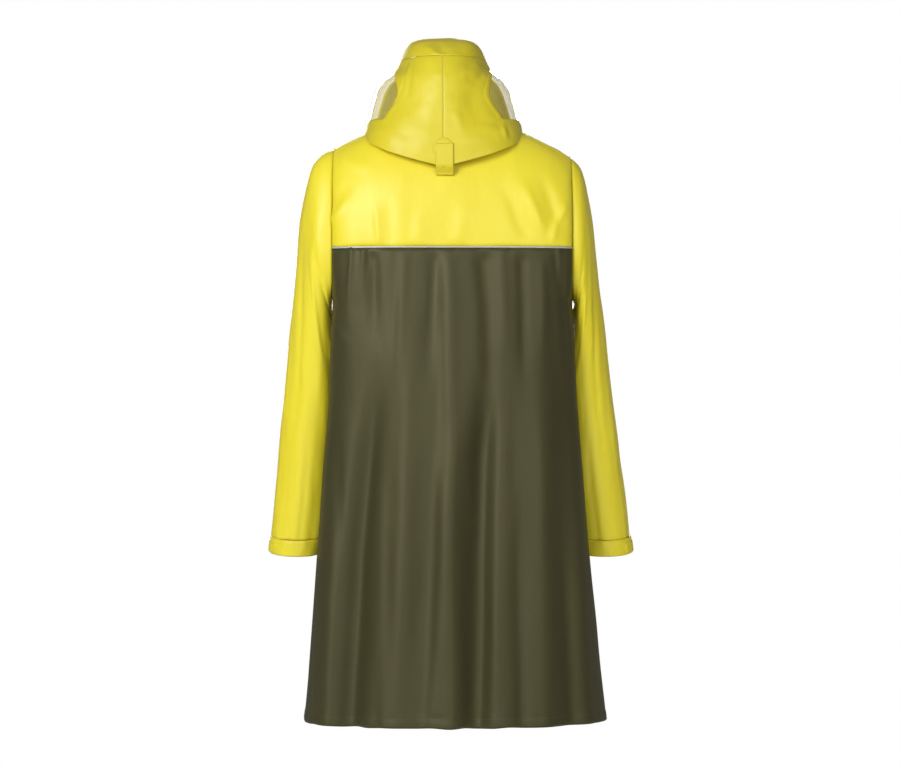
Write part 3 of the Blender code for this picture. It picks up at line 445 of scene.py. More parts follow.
def crease_height(a, b, crease, unit=MM):
    """Height of one soft fold along its path, at the places (a, b)."""
    half, high, first, last, *path = crease
    path = np.array(path, float) * unit
    reach = np.linalg.norm(np.diff(path, axis=0), axis=1)
    done = 0.0
    nearest = np.full(np.shape(a), np.inf)
    place = np.zeros(np.shape(a))
    for p, q, length in zip(path, path[1:], reach):
        d = (q - p) / length
        t = np.clip((a - p[0]) * d[0] + (b - p[1]) * d[1], 0.0, length)
        away = np.hypot(a - p[0] - t * d[0], b - p[1] - t * d[1])
        place = np.where(away < nearest, (done + t) / reach.sum(), place)
        nearest = np.minimum(nearest, away)
        done += length
    height = np.exp(-(nearest / (half * MM)) ** 2)
    if first:
        height = height * smooth_step(place / first)
    if last:
        height = height * smooth_step((1.0 - place) / last)
    return high * MM * height


def creases_height(a, b, creases, unit=MM):
    return sum(crease_height(a, b, crease, unit) for crease in creases)


# ---- grids of points ---------------------------------------------------------------------------
def unit(vectors):
    return vectors / np.maximum(np.linalg.norm(vectors, axis=-1, keepdims=True), 1e-12)


def grid_normals(grid, closed=False, flip=False):
    """Unit normals of a grid of points."""
    if closed:
        across = np.roll(grid, -1, axis=1) - np.roll(grid, 1, axis=1)
    else:
        across = np.gradient(grid, axis=1)
    down = np.gradient(grid, axis=0)
    return unit(np.cross(across, down) * (-1.0 if flip else 1.0))


def arc_length(points):
    step = np.linalg.norm(np.diff(points, axis=0), axis=1)
    return np.concatenate([[0.0], np.cumsum(step)])


def border_distance(grid, border):
    """How far each point of a grid is from one of its borders, along the cloth."""
    axis = 0 if "row" in border else 1
    step = np.linalg.norm(np.diff(grid, axis=axis), axis=2)
    zero = np.zeros((1, step.shape[1])) if axis == 0 else np.zeros((step.shape[0], 1))
    far = np.concatenate([zero, np.cumsum(step, axis=axis)], axis=axis)
    if "last" in border:
        far = (far[-1:] if axis == 0 else far[:, -1:]) - far
    return far


def seam_dip(grid, borders, deep=SEAM_GROOVE, reach=SEAM_REACH):
    """How far the cloth is drawn in beside its seams (negative)."""
    dip = np.zeros(grid.shape[:2])
    for border in borders:
        far = border_distance(grid, border)
        dip = np.minimum(dip, -deep * (1.0 - smooth_step(far / reach)))
    return dip


def puckers(grid, border, kind, seed):
    """Short ripples beside a line of stitches at a distance from a border."""
    distance, high, size, reach = (value * MM for value in PUCKERS[kind])
    far = border_distance(grid, border)
    line = border_distance(grid, "first column" if "row" in border else "first row")
    wave = unevenness(line, far * PUCKER_SLANT, size, PUCKER_LONG, seed)
    return high * wave * np.exp(-((far - distance) / reach) ** 2)


def calm(grid, reach, *borders):
    """1 over most of a grid, falling to 0 on these borders."""
    share = np.ones(grid.shape[:2])
    for border in borders:
        share = share * smooth_step(border_distance(grid, border) / reach)
    return share


def worn(grid, borders, deep, reach):
    """How far the cloth is rounded off at its open edges."""
    return sum(deep * np.exp(-border_distance(grid, border) / reach) for border in borders)


def cloth(name, grid, height, material, closed=False, flip=False, **rest):
    """A shell on a form raised by these heights, and the grid of its outer face."""
    grid = grid + grid_normals(grid, closed, flip) * height[:, :, None]
    return shell(name, grid, material, closed=closed, flip=flip, **rest), grid


def turned_in(grid, normal, borders, closed):
    """The grid with two more lines at each seam, which go in behind it."""
    for border in borders:
        axis = 0 if "row" in border else 1
        last = "last" in border
        edge = np.take(grid, [-1 if last else 0], axis=axis)
        inner = np.take(grid, [-2 if last else 1], axis=axis)
        n = np.take(normal, [-1 if last else 0], axis=axis)
        out = unit(edge - inner)
        deep = TURN_IN * np.ones((1,) + edge.shape[1:2] if axis == 0 else edge.shape[:1] + (1,))
        if not closed:
            along_it = border_distance(edge, "first column" if axis == 0 else "first row")
            from_ends = np.minimum(along_it, along_it.max() - along_it)
            deep = THIN + (TURN_IN - THIN) * smooth_step(from_ends / TURN_IN_ENDS)
        first = edge + out * (0.5 * GAP) - n * TURN_START
        second = edge + out * (0.6 * GAP) - n * deep[:, :, None]
        lines = [grid, first, second] if last else [second, first, grid]
        turns = [normal, n, n] if last else [n, n, normal]
        grid = np.concatenate(lines, axis=axis)
        normal = np.concatenate(turns, axis=axis)
    return grid, normal


# ---- meshes ------------------------------------------------------------------------------------
def new_object(name, verts, faces, material, uvs=None):
    mesh = bpy.data.meshes.new(name)
    mesh.from_pydata(verts, [], faces)
    mesh.materials.append(material)
    if uvs is not None:
        layer = mesh.uv_layers.new(name="UVMap")
        corners = np.zeros(len(mesh.loops), np.int32)
        mesh.loops.foreach_get("vertex_index", corners)
        layer.data.foreach_set("uv", uvs[corners].ravel())
    mesh.shade_smooth()
    thing = bpy.data.objects.new(name, mesh)
    bpy.context.scene.collection.objects.link(thing)
    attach(thing, "root")
    return thing


def shell(name, grid, material, thickness=THIN, closed=False, flip=False, turned=(), keep=None):
    """A thin closed shell of cloth whose outer face lies on a grid of points."""
    normal = grid_normals(grid, closed, flip)
    if turned:
        grid, normal = turned_in(grid, normal, turned, closed)
        normal = grid_normals(grid, closed, flip)
    rows, columns = grid.shape[:2]
    count = rows * columns
    inner = grid - normal * thickness
    number = np.arange(count).reshape(rows, columns)
    if closed:
        number = np.concatenate([number, number[:, :1]], axis=1)
    a, b = number[:-1, :-1], number[:-1, 1:]
    c, d = number[1:, 1:], number[1:, :-1]
    cells = np.stack([a, b, c, d], axis=-1)
    kept = np.ones(a.shape, bool) if keep is None else keep
    outer = cells[kept]
    if flip:
        outer = outer[:, ::-1]
    faces = np.concatenate([outer, outer[:, ::-1] + count, rim_faces(outer, count)])
    used, faces = np.unique(faces, return_inverse=True)
    verts = np.concatenate([grid.reshape(-1, 3), inner.reshape(-1, 3)])[used]
    u = border_distance(grid, "first column").ravel()
    v = border_distance(grid, "first row").ravel()
    uvs = np.tile(np.stack([u, v], axis=1), (2, 1))[used]
    return new_object(name, verts, faces.reshape(-1, 4), material, uvs)


def rim_faces(outer, count):
    """The faces that close a shell along the open edges of its outer layer."""
    edges = np.concatenate([outer[:, [i, (i + 1) % 4]] for i in range(4)])
    key = np.sort(edges, axis=1)
    _, first, times = np.unique(key, axis=0, return_index=True, return_counts=True)
    rim = edges[first[times == 1]]
    return np.stack([rim[:, 1], rim[:, 0], rim[:, 0] + count, rim[:, 1] + count], axis=1)


# one stitch: a spindle along its own x, with its middle rings square
STITCH_SHAPE = [(-.5, 0, -.6), (-.32, -.5, .2), (-.32, 0, 1), (-.32, .5, .2), (-.32, 0, -.6),
                (.32, -.5, .2), (.32, 0, 1), (.32, .5, .2), (.32, 0, -.6), (.5, 0, -.6)]
STITCH_FACES = ([(0, 1 + i, 1 + (i + 1) % 4) for i in range(4)]
                + [(1 + i, 5 + i, 5 + (i + 1) % 4) for i in range(4)]
                + [(1 + i, 5 + (i + 1) % 4, 1 + (i + 1) % 4) for i in range(4)]
                + [(9, 5 + (i + 1) % 4, 5 + i) for i in range(4)])


def between(at, lengths, values):
    """Points or normals, known at these lengths along a line, worked out at others."""
    return np.stack([np.interp(at, lengths, values[:, k]) for k in range(3)], axis=-1)


def stitches(name, lines, material):
    """Lines of stitches, each line a pair of points and normals, as one mesh."""
    shape = np.array(STITCH_SHAPE)
    pitch = STITCH["pitch"]
    verts = []
    for points, normals in lines:
        length = arc_length(points)
        at = np.arange(0.5 * pitch, length[-1], pitch)
        near = 0.3 * pitch
        up = between(at, length, normals)
        ahead = unit(between(at + near, length, points) - between(at - near, length, points))
        axes = np.stack([ahead, unit(np.cross(up, ahead)), up], axis=1)
        local = shape * np.array([STITCH["long"], STITCH["wide"], STITCH["proud"]])
        verts.append(between(at, length, points)[:, None]
                     + (local[None, :, :, None] * axes[:, None]).sum(axis=2))
    verts = np.concatenate(verts)
    faces = np.array(STITCH_FACES)[None] + (np.arange(len(verts)) * len(shape))[:, None, None]
    return new_object(name, verts.reshape(-1, 3), faces.reshape(-1, 3), material)


def line_beside(grid, closed, flip, border, distance, part=(0.0, 1.0)):
    """The line on a grid at a distance from a border, with its normals, for stitches."""
    normal = grid_normals(grid, closed, flip)
    far = border_distance(grid, border)
    if "column" in border:
        grid, normal, far = grid.transpose(1, 0, 2), normal.transpose(1, 0, 2), far.T
    if "last" in border:
        grid, normal, far = grid[::-1], normal[::-1], far[::-1]
    count = grid.shape[1]
    picked = list(range(int(part[0] * count), int(math.ceil(part[1] * count))))
    if closed:
        picked.append(0)
    return [np.array([between(distance, far[:, c], values[:, c]) for c in picked])
            for values in (grid, normal)]


# ---- body --------------------------------------------------------------------------------------
def column_places(count):
    """Places across a panel from +1 at the left edge to -1 at the right, with the neck corners."""
    places = power(np.cos(np.pi * np.arange(count + 1) / count), 2.0 / BODY_POWER)
    for side, sign in (("left", 1.0), ("right", -1.0)):
        corner = (HOOD_X + sign * NECK_SIDE) / table(BODY, side, YOKE_SEAM_Z)
        places[np.argmin(np.abs(places - corner))] = corner
    return places


def half_width(u, z):
    return np.where(u > 0, table(BODY, "left", z), table(BODY, "right", z))


def section_depth(u, z, back):
    """Depth of the body's section at height z and place u across it."""
    down = np.clip((YOKE_SEAM_Z - z) / (YOKE_SEAM_Z - ARMPIT_Z), 0.0, 1.0)
    edge = ARMHOLE_DEPTH * (1.0 - down ** ARCH_POWER) ** (1.0 / ARCH_POWER)
    slack = ARMHOLE_DEPTH * (1.0 - smooth_step((YOKE_SEAM_Z - z) / UNDERARM_FADE))
    deep = np.where(back, table(BODY, "back", z), table(BODY, "front", z))
    bow = (1.0 - np.minimum(np.abs(u), 1.0) ** BODY_POWER) ** (1.0 / BODY_POWER)
    edge = edge + (slack - edge) * smooth_step(bow / UNDERARM_BOW)
    return edge + (deep - edge) * bow


def body_surface(u, z, back):
    """Points of the body's outer surface below the yoke seam, without its folds."""
    dent = table(BODY, "dent", z)
    half = half_width(u, z) + DENT_SWELL * dent
    y = section_depth(u, z, back) * np.where(back, 1.0, -1.0)
    press = dent * np.exp(-((y - DENT_Y) / DENT_REACH) ** 2)
    x = u * half - np.sign(u) * press * smooth_step((np.abs(u) - PRESS_FROM) / PRESS_OVER)
    return np.stack(np.broadcast_arrays(x, y, z), axis=-1)


def fold_height(folds, x, z):
    """How far the large folds push a panel out."""
    down = (YOKE_SEAM_Z - z) / (YOKE_SEAM_Z - HEM_Z)
    total = np.zeros(np.shape(x))
    for at_yoke, at_hem, half, high, from_z in folds:
        middle = (at_yoke + (at_hem - at_yoke) * down) * MM
        wide = half * MM * (FOLD_TOP_HALF + (1.0 - FOLD_TOP_HALF) * down)
        start = from_z * MM
        grown = smooth_step((start - z) / (start - HEM_Z) * FOLD_HASTE)
        rise = high * MM * (FOLD_TOP_HIGH + (1.0 - FOLD_TOP_HIGH) * grown)
        total += rise * smooth_step((start - z) / FOLD_START) * np.exp(-((x - middle) / wide) ** 2)
    return total


def panel_grid(back, columns, rows):
    """The long panel: rows down from the yoke seam, columns from left to right."""
    turn = np.linspace(0.0, np.pi / 2, ARMHOLE_ROWS, endpoint=False)
    upper = YOKE_SEAM_Z - (YOKE_SEAM_Z - ARMPIT_Z) * np.sin(turn) ** (2.0 / ARCH_POWER)
    z = np.concatenate([upper, np.linspace(ARMPIT_Z, HEM_Z, rows)])
    u, z = np.meshgrid(column_places(columns), z)
    grid = body_surface(u, z, back)
    level = grid_normals(grid, flip=back)
    level[:, :, 2] = 0.0
    folds = fold_height(BACK_FOLDS if back else FRONT_FOLDS, grid[:, :, 0], z)
    folds *= smooth_step((1.0 - np.abs(u)) / SIDE_FADE)
    return grid + unit(level) * folds[:, :, None]


def make_panel(node, back, size, creases, seed, material):
    """A long panel with its creases, the gathers below its yoke seam and its turned-up hem."""
    grid = panel_grid(back, *size)
    x, z = grid[:, :, 0], grid[:, :, 2]
    down = smooth_step((YOKE_SEAM_Z - z) / PANEL_CALM)
    height = creases_height(x, z, creases)
    height += ripples(x, z, seed, (38, 260, 0.6 + 1.2 * down), (17, 95, 0.45))
    height += puckers(grid, "first row", "gathers", seed + 2)
    height += puckers(grid, "last row", "hem", seed + 3)
    height *= calm(grid, PANEL_FADE, "first column", "last column")
    from_hem = border_distance(grid, "last row")
    height += HEM_SWELL * smooth_step((HEM_STITCH + HEM_FOLD[0] - from_hem) / HEM_FOLD[1])
    height -= groove(from_hem, HEM_STITCH, *HEM_GROOVE)
    borders = ("first row", "first column", "last column")
    height += seam_dip(grid, borders)
    grid = grid + grid_normals(grid, flip=back) * height[:, :, None]
    grid[:, :, 2] += puckers(grid, "last row", "hem edge", seed + 4)
    return shell(node + "_cloth", grid, material, flip=back, turned=borders), grid


# ---- yokes -------------------------------------------------------------------------------------
def ridge_z(x):
    return along(RIDGE["x"], RIDGE["z"], np.abs(x) / MM) * MM


def yoke_height(x, y):
    """Height of the surface over the shoulders."""
    u = np.minimum(np.abs(x) / half_width(x, YOKE_SEAM_Z), 1.0)
    part = np.minimum(np.abs(y) / section_depth(u, YOKE_SEAM_Z, y > 0), 1.0)
    rise = (1.0 - part ** ARCH_POWER) ** (1.0 / ARCH_POWER)
    return YOKE_SEAM_Z + (ridge_z(x) - YOKE_SEAM_Z) * rise


def neck_edge(sign, angle, out=0.0):
    """Places on the neck opening: angle 0 at the centre back, 90 at the shoulder seam."""
    deep = np.where(angle < np.pi / 2, NECK_BACK - SHOULDER_SEAM_Y, NECK_FRONT + SHOULDER_SEAM_Y)
    x = HOOD_X + sign * (NECK_SIDE + out) * np.sin(angle)
    return x, SHOULDER_SEAM_Y + (deep + out) * np.cos(angle)


def yoke_grid(back, columns, rows):
    """A yoke: rows up from its seam to the shoulder seam and neck, columns left to right."""
    u = column_places(columns)[None, :]
    t = np.linspace(0.0, 1.0, rows + 1)[:, None]
    toward = 1.0 if back else -1.0
    half = half_width(u, YOKE_SEAM_Z)
    x_low = u * half
    aside = x_low - HOOD_X
    angle = np.pi / 2 * np.minimum(np.abs(aside) / NECK_SIDE, 1.0)
    neck_x, neck_y = neck_edge(np.sign(aside), angle if back else np.pi - angle)
    at_neck = np.abs(aside) < NECK_SIDE - 1e-6
    x_high = np.where(at_neck, neck_x, x_low)
    y_high = np.where(at_neck, neck_y, SHOULDER_SEAM_Y + 0.5 * GAP * toward)
    cosine = toward * y_high / section_depth(x_high / half, YOKE_SEAM_Z, y_high > 0)
    end = np.arccos(np.clip(power(cosine, ARCH_POWER / 2), -1.0, 1.0))
    x = x_low + (x_high - x_low) * t
    c = power(np.cos(end * t), 2.0 / ARCH_POWER)
    deep = section_depth(x / half, YOKE_SEAM_Z, toward * c > 0)
    rise = np.abs(np.sin(end * t)) ** (2.0 / ARCH_POWER)
    z = YOKE_SEAM_Z + 0.5 * GAP + (ridge_z(x) - YOKE_SEAM_Z) * rise
    return np.stack([x, toward * c * deep, z], axis=-1)


def make_yoke(node, back, size, creases, seed, material):
    grid = yoke_grid(back, *size)
    x, z = grid[:, :, 0], grid[:, :, 2]
    height = creases_height(x, z, creases)
    height += ripples(x, z, seed, (46, 70, 1.0), (20, 42, 0.35))
    height += puckers(grid, "first row", "yoke", seed + 2)
    height *= calm(grid, YOKE_TOP_FADE, "last row")
    height *= calm(grid, YOKE_SIDE_FADE, "first column", "last column")
    height += seam_dip(grid, BORDERS)
    return cloth(node + "_cloth", grid, height, material, flip=not back, turned=BORDERS)


def piping_grid(columns, rows):
    """The strip over the back yoke's seam, a little rounded."""
    u = column_places(columns)
    body = body_surface(u, np.full(len(u), YOKE_SEAM_Z), np.array(True))
    normal = grid_normals(np.stack([body, body - np.array([0.0, 0.0, MM])]), flip=True)[0]
    lines = []
    for across in np.linspace(-1.0, 1.0, rows):
        lift = PIPING_PROUD * math.sqrt(max(0.0, 1.0 - across ** 2)) + PIPING_LIFT
        lines.append(body + normal * lift - np.array([0.0, 0.0, PIPING_HALF * across]))
    return np.array(lines)


# ---- sleeves -----------------------------------------------------------------------------------
ARM_LONG = 700 * MM       # a sleeve's length and girth, for placing its creases
ARM_GIRTH = 377 * MM


def armhole_loop(side, angle):
    """The armhole: angle 0 at the shoulder, 90 at the back, 180 under the arm."""
    sign = SIGN[side]
    up = np.abs(np.cos(angle)) ** (2.0 / ARCH_POWER)
    y = power(np.sin(angle), 2.0 / ARCH_POWER) * ARMHOLE_DEPTH
    half = table(BODY, side, YOKE_SEAM_Z)
    high = YOKE_SEAM_Z + (ridge_z(half) - YOKE_SEAM_Z) * up
    low = YOKE_SEAM_Z - (YOKE_SEAM_Z - ARMPIT_Z) * up
    under = body_surface(np.full(len(angle), sign), low, np.sin(angle) >= 0)[:, 0]
    upper = np.cos(angle) >= 0
    x = np.where(upper, sign * half, under) + sign * GAP
    return np.stack([x, y, np.where(upper, high, low)], axis=-1)


def sleeve_ring(side, row, angle):
    """One ring of the sleeve: angle 0 is its outer side, 90 its back."""
    sign = SIGN[side]
    more = [SLEEVE[k][row] if side == "right" else 0.0
            for k in ("right_out", "right_in", "right_drop")]
    outer = np.array([SLEEVE["out_x"][row] + more[0], 0.0, SLEEVE["out_z"][row] - more[2]]) * MM
    inner = np.array([SLEEVE["in_x"][row] + more[1], 0.0, SLEEVE["in_z"][row]]) * MM
    middle = (outer + inner) / 2
    middle[1] = SLEEVE["mid_y"][row] * MM
    deep = SLEEVE["depth"][row] * MM
    tilt = SLEEVE_TILT * row / (len(SLEEVE["out_x"]) - 1)
    points = middle + (outer - inner) / 2 * np.cos(angle)[:, None]
    points[:, 1] += deep * np.sin(angle)
    points[:, 2] -= tilt * deep * np.sin(angle)
    points[:, 0] *= sign
    return points


def loft(rings, count):
    """More rings between the given ones, on smooth curves from ring to ring."""
    step = np.linalg.norm(np.diff(rings, axis=0), axis=2).mean(axis=1)
    at = np.concatenate([[0.0], np.cumsum(step)])
    slope = np.gradient(rings, at, axis=0)
    want = np.linspace(0.0, at[-1], count)
    i = np.clip(np.searchsorted(at, want, side="right") - 1, 0, len(step) - 1)
    h = step[i][:, None, None]
    t = ((want - at[i]) / step[i])[:, None, None]
    return hermite(t, h, rings[i], rings[i + 1], slope[i], slope[i + 1])


def sleeve_grid(side, columns, rows):
    angle = 2 * np.pi * np.arange(columns) / columns
    first = armhole_loop(side, angle)
    rings = [first]
    for row in range(len(SLEEVE["out_x"]) - 1):
        ring = sleeve_ring(side, row, angle)
        share = ARMHOLE_SHARE[row] if row < len(ARMHOLE_SHARE) else 0.0
        target = ring.mean(axis=0)
        shape = first - (first.max(axis=0) + first.min(axis=0)) / 2
        shape[:, 0] = ring[:, 0] - target[0]
        rings.append(ring * (1.0 - share) + (shape + target) * share)
    return loft(np.array(rings), rows)


def sleeve_creases_height(grid, side, turn, down):
    """Height of the sleeve's creases; turn and down shift them, so that the arms differ."""
    rows, columns = grid.shape[:2]
    angle = np.degrees(2 * np.pi * np.arange(columns) / columns)
    angle = np.where(angle > 180, angle - 360, angle)
    share = border_distance(grid, "first row") / border_distance(grid, "first row")[-1]
    unit = np.array([ARM_GIRTH / 360.0, ARM_LONG])
    height = np.zeros((rows, columns))
    for lap in (-360.0, 0.0, 360.0):
        a = np.broadcast_to((angle + lap - turn) * unit[0], share.shape)
        height += creases_height(a, (share - down) * unit[1], SLEEVE_CREASES, unit)
        height += crease_height(a, share * unit[1], ARMPIT_FULL[side], unit)
    return height


def make_sleeve(side, turn, down, seed, material):
    columns, rows = SLEEVE_GRID
    grid = sleeve_grid(side, columns, rows)
    height = sleeve_creases_height(grid, side, turn, down)
    around = np.arange(columns) / columns
    around = np.broadcast_to(np.minimum(around, 1.0 - around) * ARM_GIRTH, height.shape)
    far = border_distance(grid, "first row")
    gathers = WRIST_GATHERS * np.exp(-border_distance(grid, "last row") / WRIST_REACH)
    height += ripples(around, far, seed, (30, 120, 1.5), (14, 40, 0.5), (9, 60, gathers))
    height *= calm(grid, SLEEVE_FADE, "first row")
    borders = ("first row", "last row")
    height += seam_dip(grid, borders, SLEEVE_GROOVE)
    return cloth("sleeve_cloth_" + side, grid, height, material, closed=True,
                 flip=side == "left", turned=borders)


def cuff_grid(side, angle, downs):
    """Rings of the cuff: down is 0 at its seam and 1 at its edge."""
    count = len(SLEEVE["out_x"])
    top = sleeve_ring(side, count - 2, angle)
    low = sleeve_ring(side, count - 1, angle)
    return np.array([top + (low - top) * down for down in downs])


def make_cuff(side, seed, material):
    columns = SLEEVE_GRID[0]
    angle = 2 * np.pi * np.arange(columns) / columns
    grid = cuff_grid(side, angle, np.linspace(CUFF_START, 1.0, CUFF_ROWS))
    around = np.minimum(angle, 2 * np.pi - angle) / (2 * np.pi) * ARM_GIRTH
    around = np.broadcast_to(around, grid.shape[:2])
    height = CUFF_PROUD + ripples(around, grid[:, :, 2], seed, (16, 30, 0.9), (7, 20, 0.35))
    height += seam_dip(grid, ("first row",), *CUFF_SEAM)
    height -= worn(grid, ("last row",), *WORN["cuff"])
    return cloth("cuff_cloth_" + side, grid, height, material, thickness=CUFF_THICK,
                 closed=True, flip=side == "left", turned=("first row",))


def make_cuff_tab(side, material):
    """The cuff's tab, with a rounded free end, lying on the cuff."""
    first, last = (math.radians(a) for a in CUFF_TAB_ANGLES)
    low, high = CUFF_TAB_DOWNS
    columns, rows = CUFF_TAB_GRID
    lines = []
    for place in np.linspace(0.0, 1.0, columns):
        past = max(0.0, (place - CUFF_TAB_ROUND) / (1.0 - CUFF_TAB_ROUND))
        half = (high - low) / 2 * max(math.sqrt(max(0.0, 1.0 - past ** 2)), CUFF_TAB_TIP)
        angle = np.array([first + (last - first) * place])
        downs = (low + high) / 2 + half * np.linspace(-1.0, 1.0, rows)
        lines.append(cuff_grid(side, angle, downs)[:, 0])
    grid = np.array(lines).transpose(1, 0, 2)
    proud, wave, end = CUFF_TAB_WAVE
    height = (proud + wave * np.sin(np.linspace(0.0, end, columns)))[None, :]
    height = height - worn(grid, BORDERS, *WORN["cuff tab"])
    return cloth("cuff_tab_cloth_" + side, grid, height, material, thickness=CUFF_TAB_THICK,
                 flip=side == "left")


# ---- hood --------------------------------------------------------------------------------------
UNDER_ROWS = 16           # rows of the part turned under, and of the sides above it
LOW_ROWS = 18
TOWARD_FOLD = 1.7         # the rows lie closer together towards the fold
WINDOW_ROWS = 36
ABOVE_ROWS = 10
UNDER_LIFT = 1 * MM
ROUND_ROWS = 2            # rows each side of the lower fold that are smoothed, and how often
ROUND_PASSES = 6
CREASES_FROM_Y = HOOD_MID_Y - 30 * MM   # the hood's creases fade in here, over this depth
CREASES_OVER = 40 * MM
BAND_UPPER = 40 * MM      # the band's fine ripples are full above this height
THROAT_TOP_Z = 25 * MM    # the two bands lie flat where they meet under the chin
THROAT_HALF = 12 * MM


def hood_point(sign, angle, z):
    """Points of the hood's sides at angles from its centre back (degrees)."""
    turn = np.radians(angle)
    square = along(HOOD["z"], HOOD["square"], np.asarray(z) / MM) / 100
    share = np.maximum(1.0 - np.sin(turn) ** square, 0.0) ** (1.0 / square)
    behind = np.asarray(angle) < 90
    y = np.where(behind, table(HOOD, "back", z) * share, table(HOOD, "front", z) * np.cos(turn))
    x = HOOD_X + sign * table(HOOD, "half", z) * np.sin(turn)
    return np.stack(np.broadcast_arrays(x, HOOD_MID_Y + y, z), axis=-1)


def by_height(rows, z):
    return along(rows["z"], rows["angle"], np.asarray(z) / MM)


def lip_z(sign, angle):
    """Height of the fold where the hood turns under, kept clear of the shoulders."""
    z = along(LIP["angle"], LIP["z"], angle) * MM
    point = hood_point(sign, angle, z)
    over = yoke_height(point[..., 0], point[..., 1]) + LIP_CLEAR
    return 0.5 * (z + over + np.sqrt((z - over) ** 2 + LIP_ROUND ** 2))


def neck_point(sign, angle):
    """Where the hood meets the yokes, over the edge of the neck opening."""
    turn = np.radians(angle)
    turn = turn + NECK_LEAD * np.sin(turn)
    x, y = neck_edge(sign, turn, NECK_OUT)
    return np.stack([x, y, yoke_height(*neck_edge(sign, turn)) + NECK_LIFT], axis=-1)


def hood_grid(sign, angle_at, columns):
    """Rows from the neck under the fold and up to the roof's seam; columns by angle_at."""
    start = angle_at(np.zeros(columns))
    angle = angle_at(lip_z(sign, start))
    lip = lip_z(sign, angle)
    fold = hood_point(sign, angle, lip)
    neck = neck_point(sign, angle)
    t = np.linspace(0.0, 1.0, UNDER_ROWS, endpoint=False)[:, None, None]
    t = 1.0 - (1.0 - t) ** TOWARD_FOLD
    under = neck + (fold - neck) * t
    under[:, :, 2] += UNDER_LIFT * np.sin(np.pi * t[:, :, 0])
    t = np.linspace(0.0, 1.0, LOW_ROWS, endpoint=False)[:, None] ** TOWARD_FOLD
    low = lip + (WINDOW_LOW_Z - lip) * t
    step = (WINDOW_TOP_Z - WINDOW_LOW_Z) / WINDOW_ROWS
    window = WINDOW_LOW_Z + step * np.arange(WINDOW_ROWS)[:, None] * np.ones(columns)
    above = np.linspace(WINDOW_TOP_Z, ROOF_SEAM_Z, ABOVE_ROWS)[:, None] * np.ones(columns)
    z = np.concatenate([low, window, above])
    return np.concatenate([under, hood_point(sign, angle_at(z), z)])


def seam_angle(distance, z):
    return np.degrees(distance / table(HOOD, "half", z))


def hood_height(grid, seed):
    """The creases and dents of the hood's sides; the part turned under has none."""
    x, z = grid[:, :, 0], grid[:, :, 2]
    height = creases_height(x, z, HOOD_CREASES)
    for at_x, at_z, half_x, half_z, lean, deep in HOOD_DENTS:
        cosine, sine = math.cos(math.radians(lean)), math.sin(math.radians(lean))
        a = x - at_x * MM
        b = z - at_z * MM
        across = (a * cosine + b * sine) / (half_x * MM)
        up = (b * cosine - a * sine) / (half_z * MM)
        height -= deep * MM * np.exp(-across ** 2 - up ** 2)
    height *= smooth_step((grid[:, :, 1] - CREASES_FROM_Y) / CREASES_OVER)
    height += ripples(x, z, seed, (34, 30, 1.0), (14, 13, 0.3))
    height[:UNDER_ROWS] = 0.0
    return height


def round_fold(grid):
    """Rounds the fold at the hood's lower edge."""
    first, last = UNDER_ROWS - ROUND_ROWS, UNDER_ROWS + ROUND_ROWS + 1
    for _ in range(ROUND_PASSES):
        beside = grid[first - 1:last - 1] + grid[first + 1:last + 1]
        grid[first:last] = 0.5 * grid[first:last] + 0.25 * beside
    return grid


def make_hood_back(side, seed, material):
    """The back panel, which runs on forward below and above the window; its grid that shows."""
    back_columns, side_columns = HOOD_BACK_COLUMNS

    def angle_at(z):
        q = np.concatenate([np.linspace(0.0, 1.0, back_columns + 1),
                            1.0 + np.linspace(0.0, 1.0, side_columns + 1)[1:]])
        back = by_height(WINDOW_BACK, z)
        first = seam_angle(0.5 * GAP, z)
        far = WINDOW_FRONT - first
        return np.where(q <= 1.0, first + (back - first) * q, back + (far - back) * (q - 1.0))

    grid = round_fold(hood_grid(SIGN[side], angle_at, back_columns + side_columns + 1))
    first = UNDER_ROWS + LOW_ROWS
    height = hood_height(grid, seed)
    height += window_edge(grid, back_columns, first)
    borders = ("last row", "first column", "last column")
    height += seam_dip(grid, borders, *HOOD_SEAM)
    keep = np.ones((grid.shape[0] - 1, grid.shape[1] - 1), bool)
    keep[first:first + WINDOW_ROWS, back_columns:] = False
    keep = np.pad(keep, ((0, 2), (2, 2)), mode="edge")
    piece, grid = cloth("hood_back_cloth_" + side, grid, height, material, flip=side == "left",
                        keep=keep, turned=borders)
    return piece, grid[UNDER_ROWS:]


def window_edge(grid, column, first_row):
    """The strip round the window: sewn on top, so it stands proud, and hollow at its stitches."""
    far = np.full(grid.shape[:2], 1.0)
    rows = slice(first_row, first_row + WINDOW_ROWS + 1)
    far[rows] = np.linalg.norm(grid[rows] - grid[rows, column:column + 1], axis=2)
    ahead = grid[:, column:]
    below = np.linalg.norm(ahead - ahead[first_row:first_row + 1], axis=2)
    above = np.linalg.norm(ahead - ahead[rows.stop - 1:rows.stop], axis=2)
    far[:, column:] = np.minimum(far[:, column:], np.minimum(below, above))
    band = smooth_step((WINDOW_STRIP - far) / (2 * MM))
    return WINDOW_PROUD * band - groove(far, *WINDOW_STITCH)


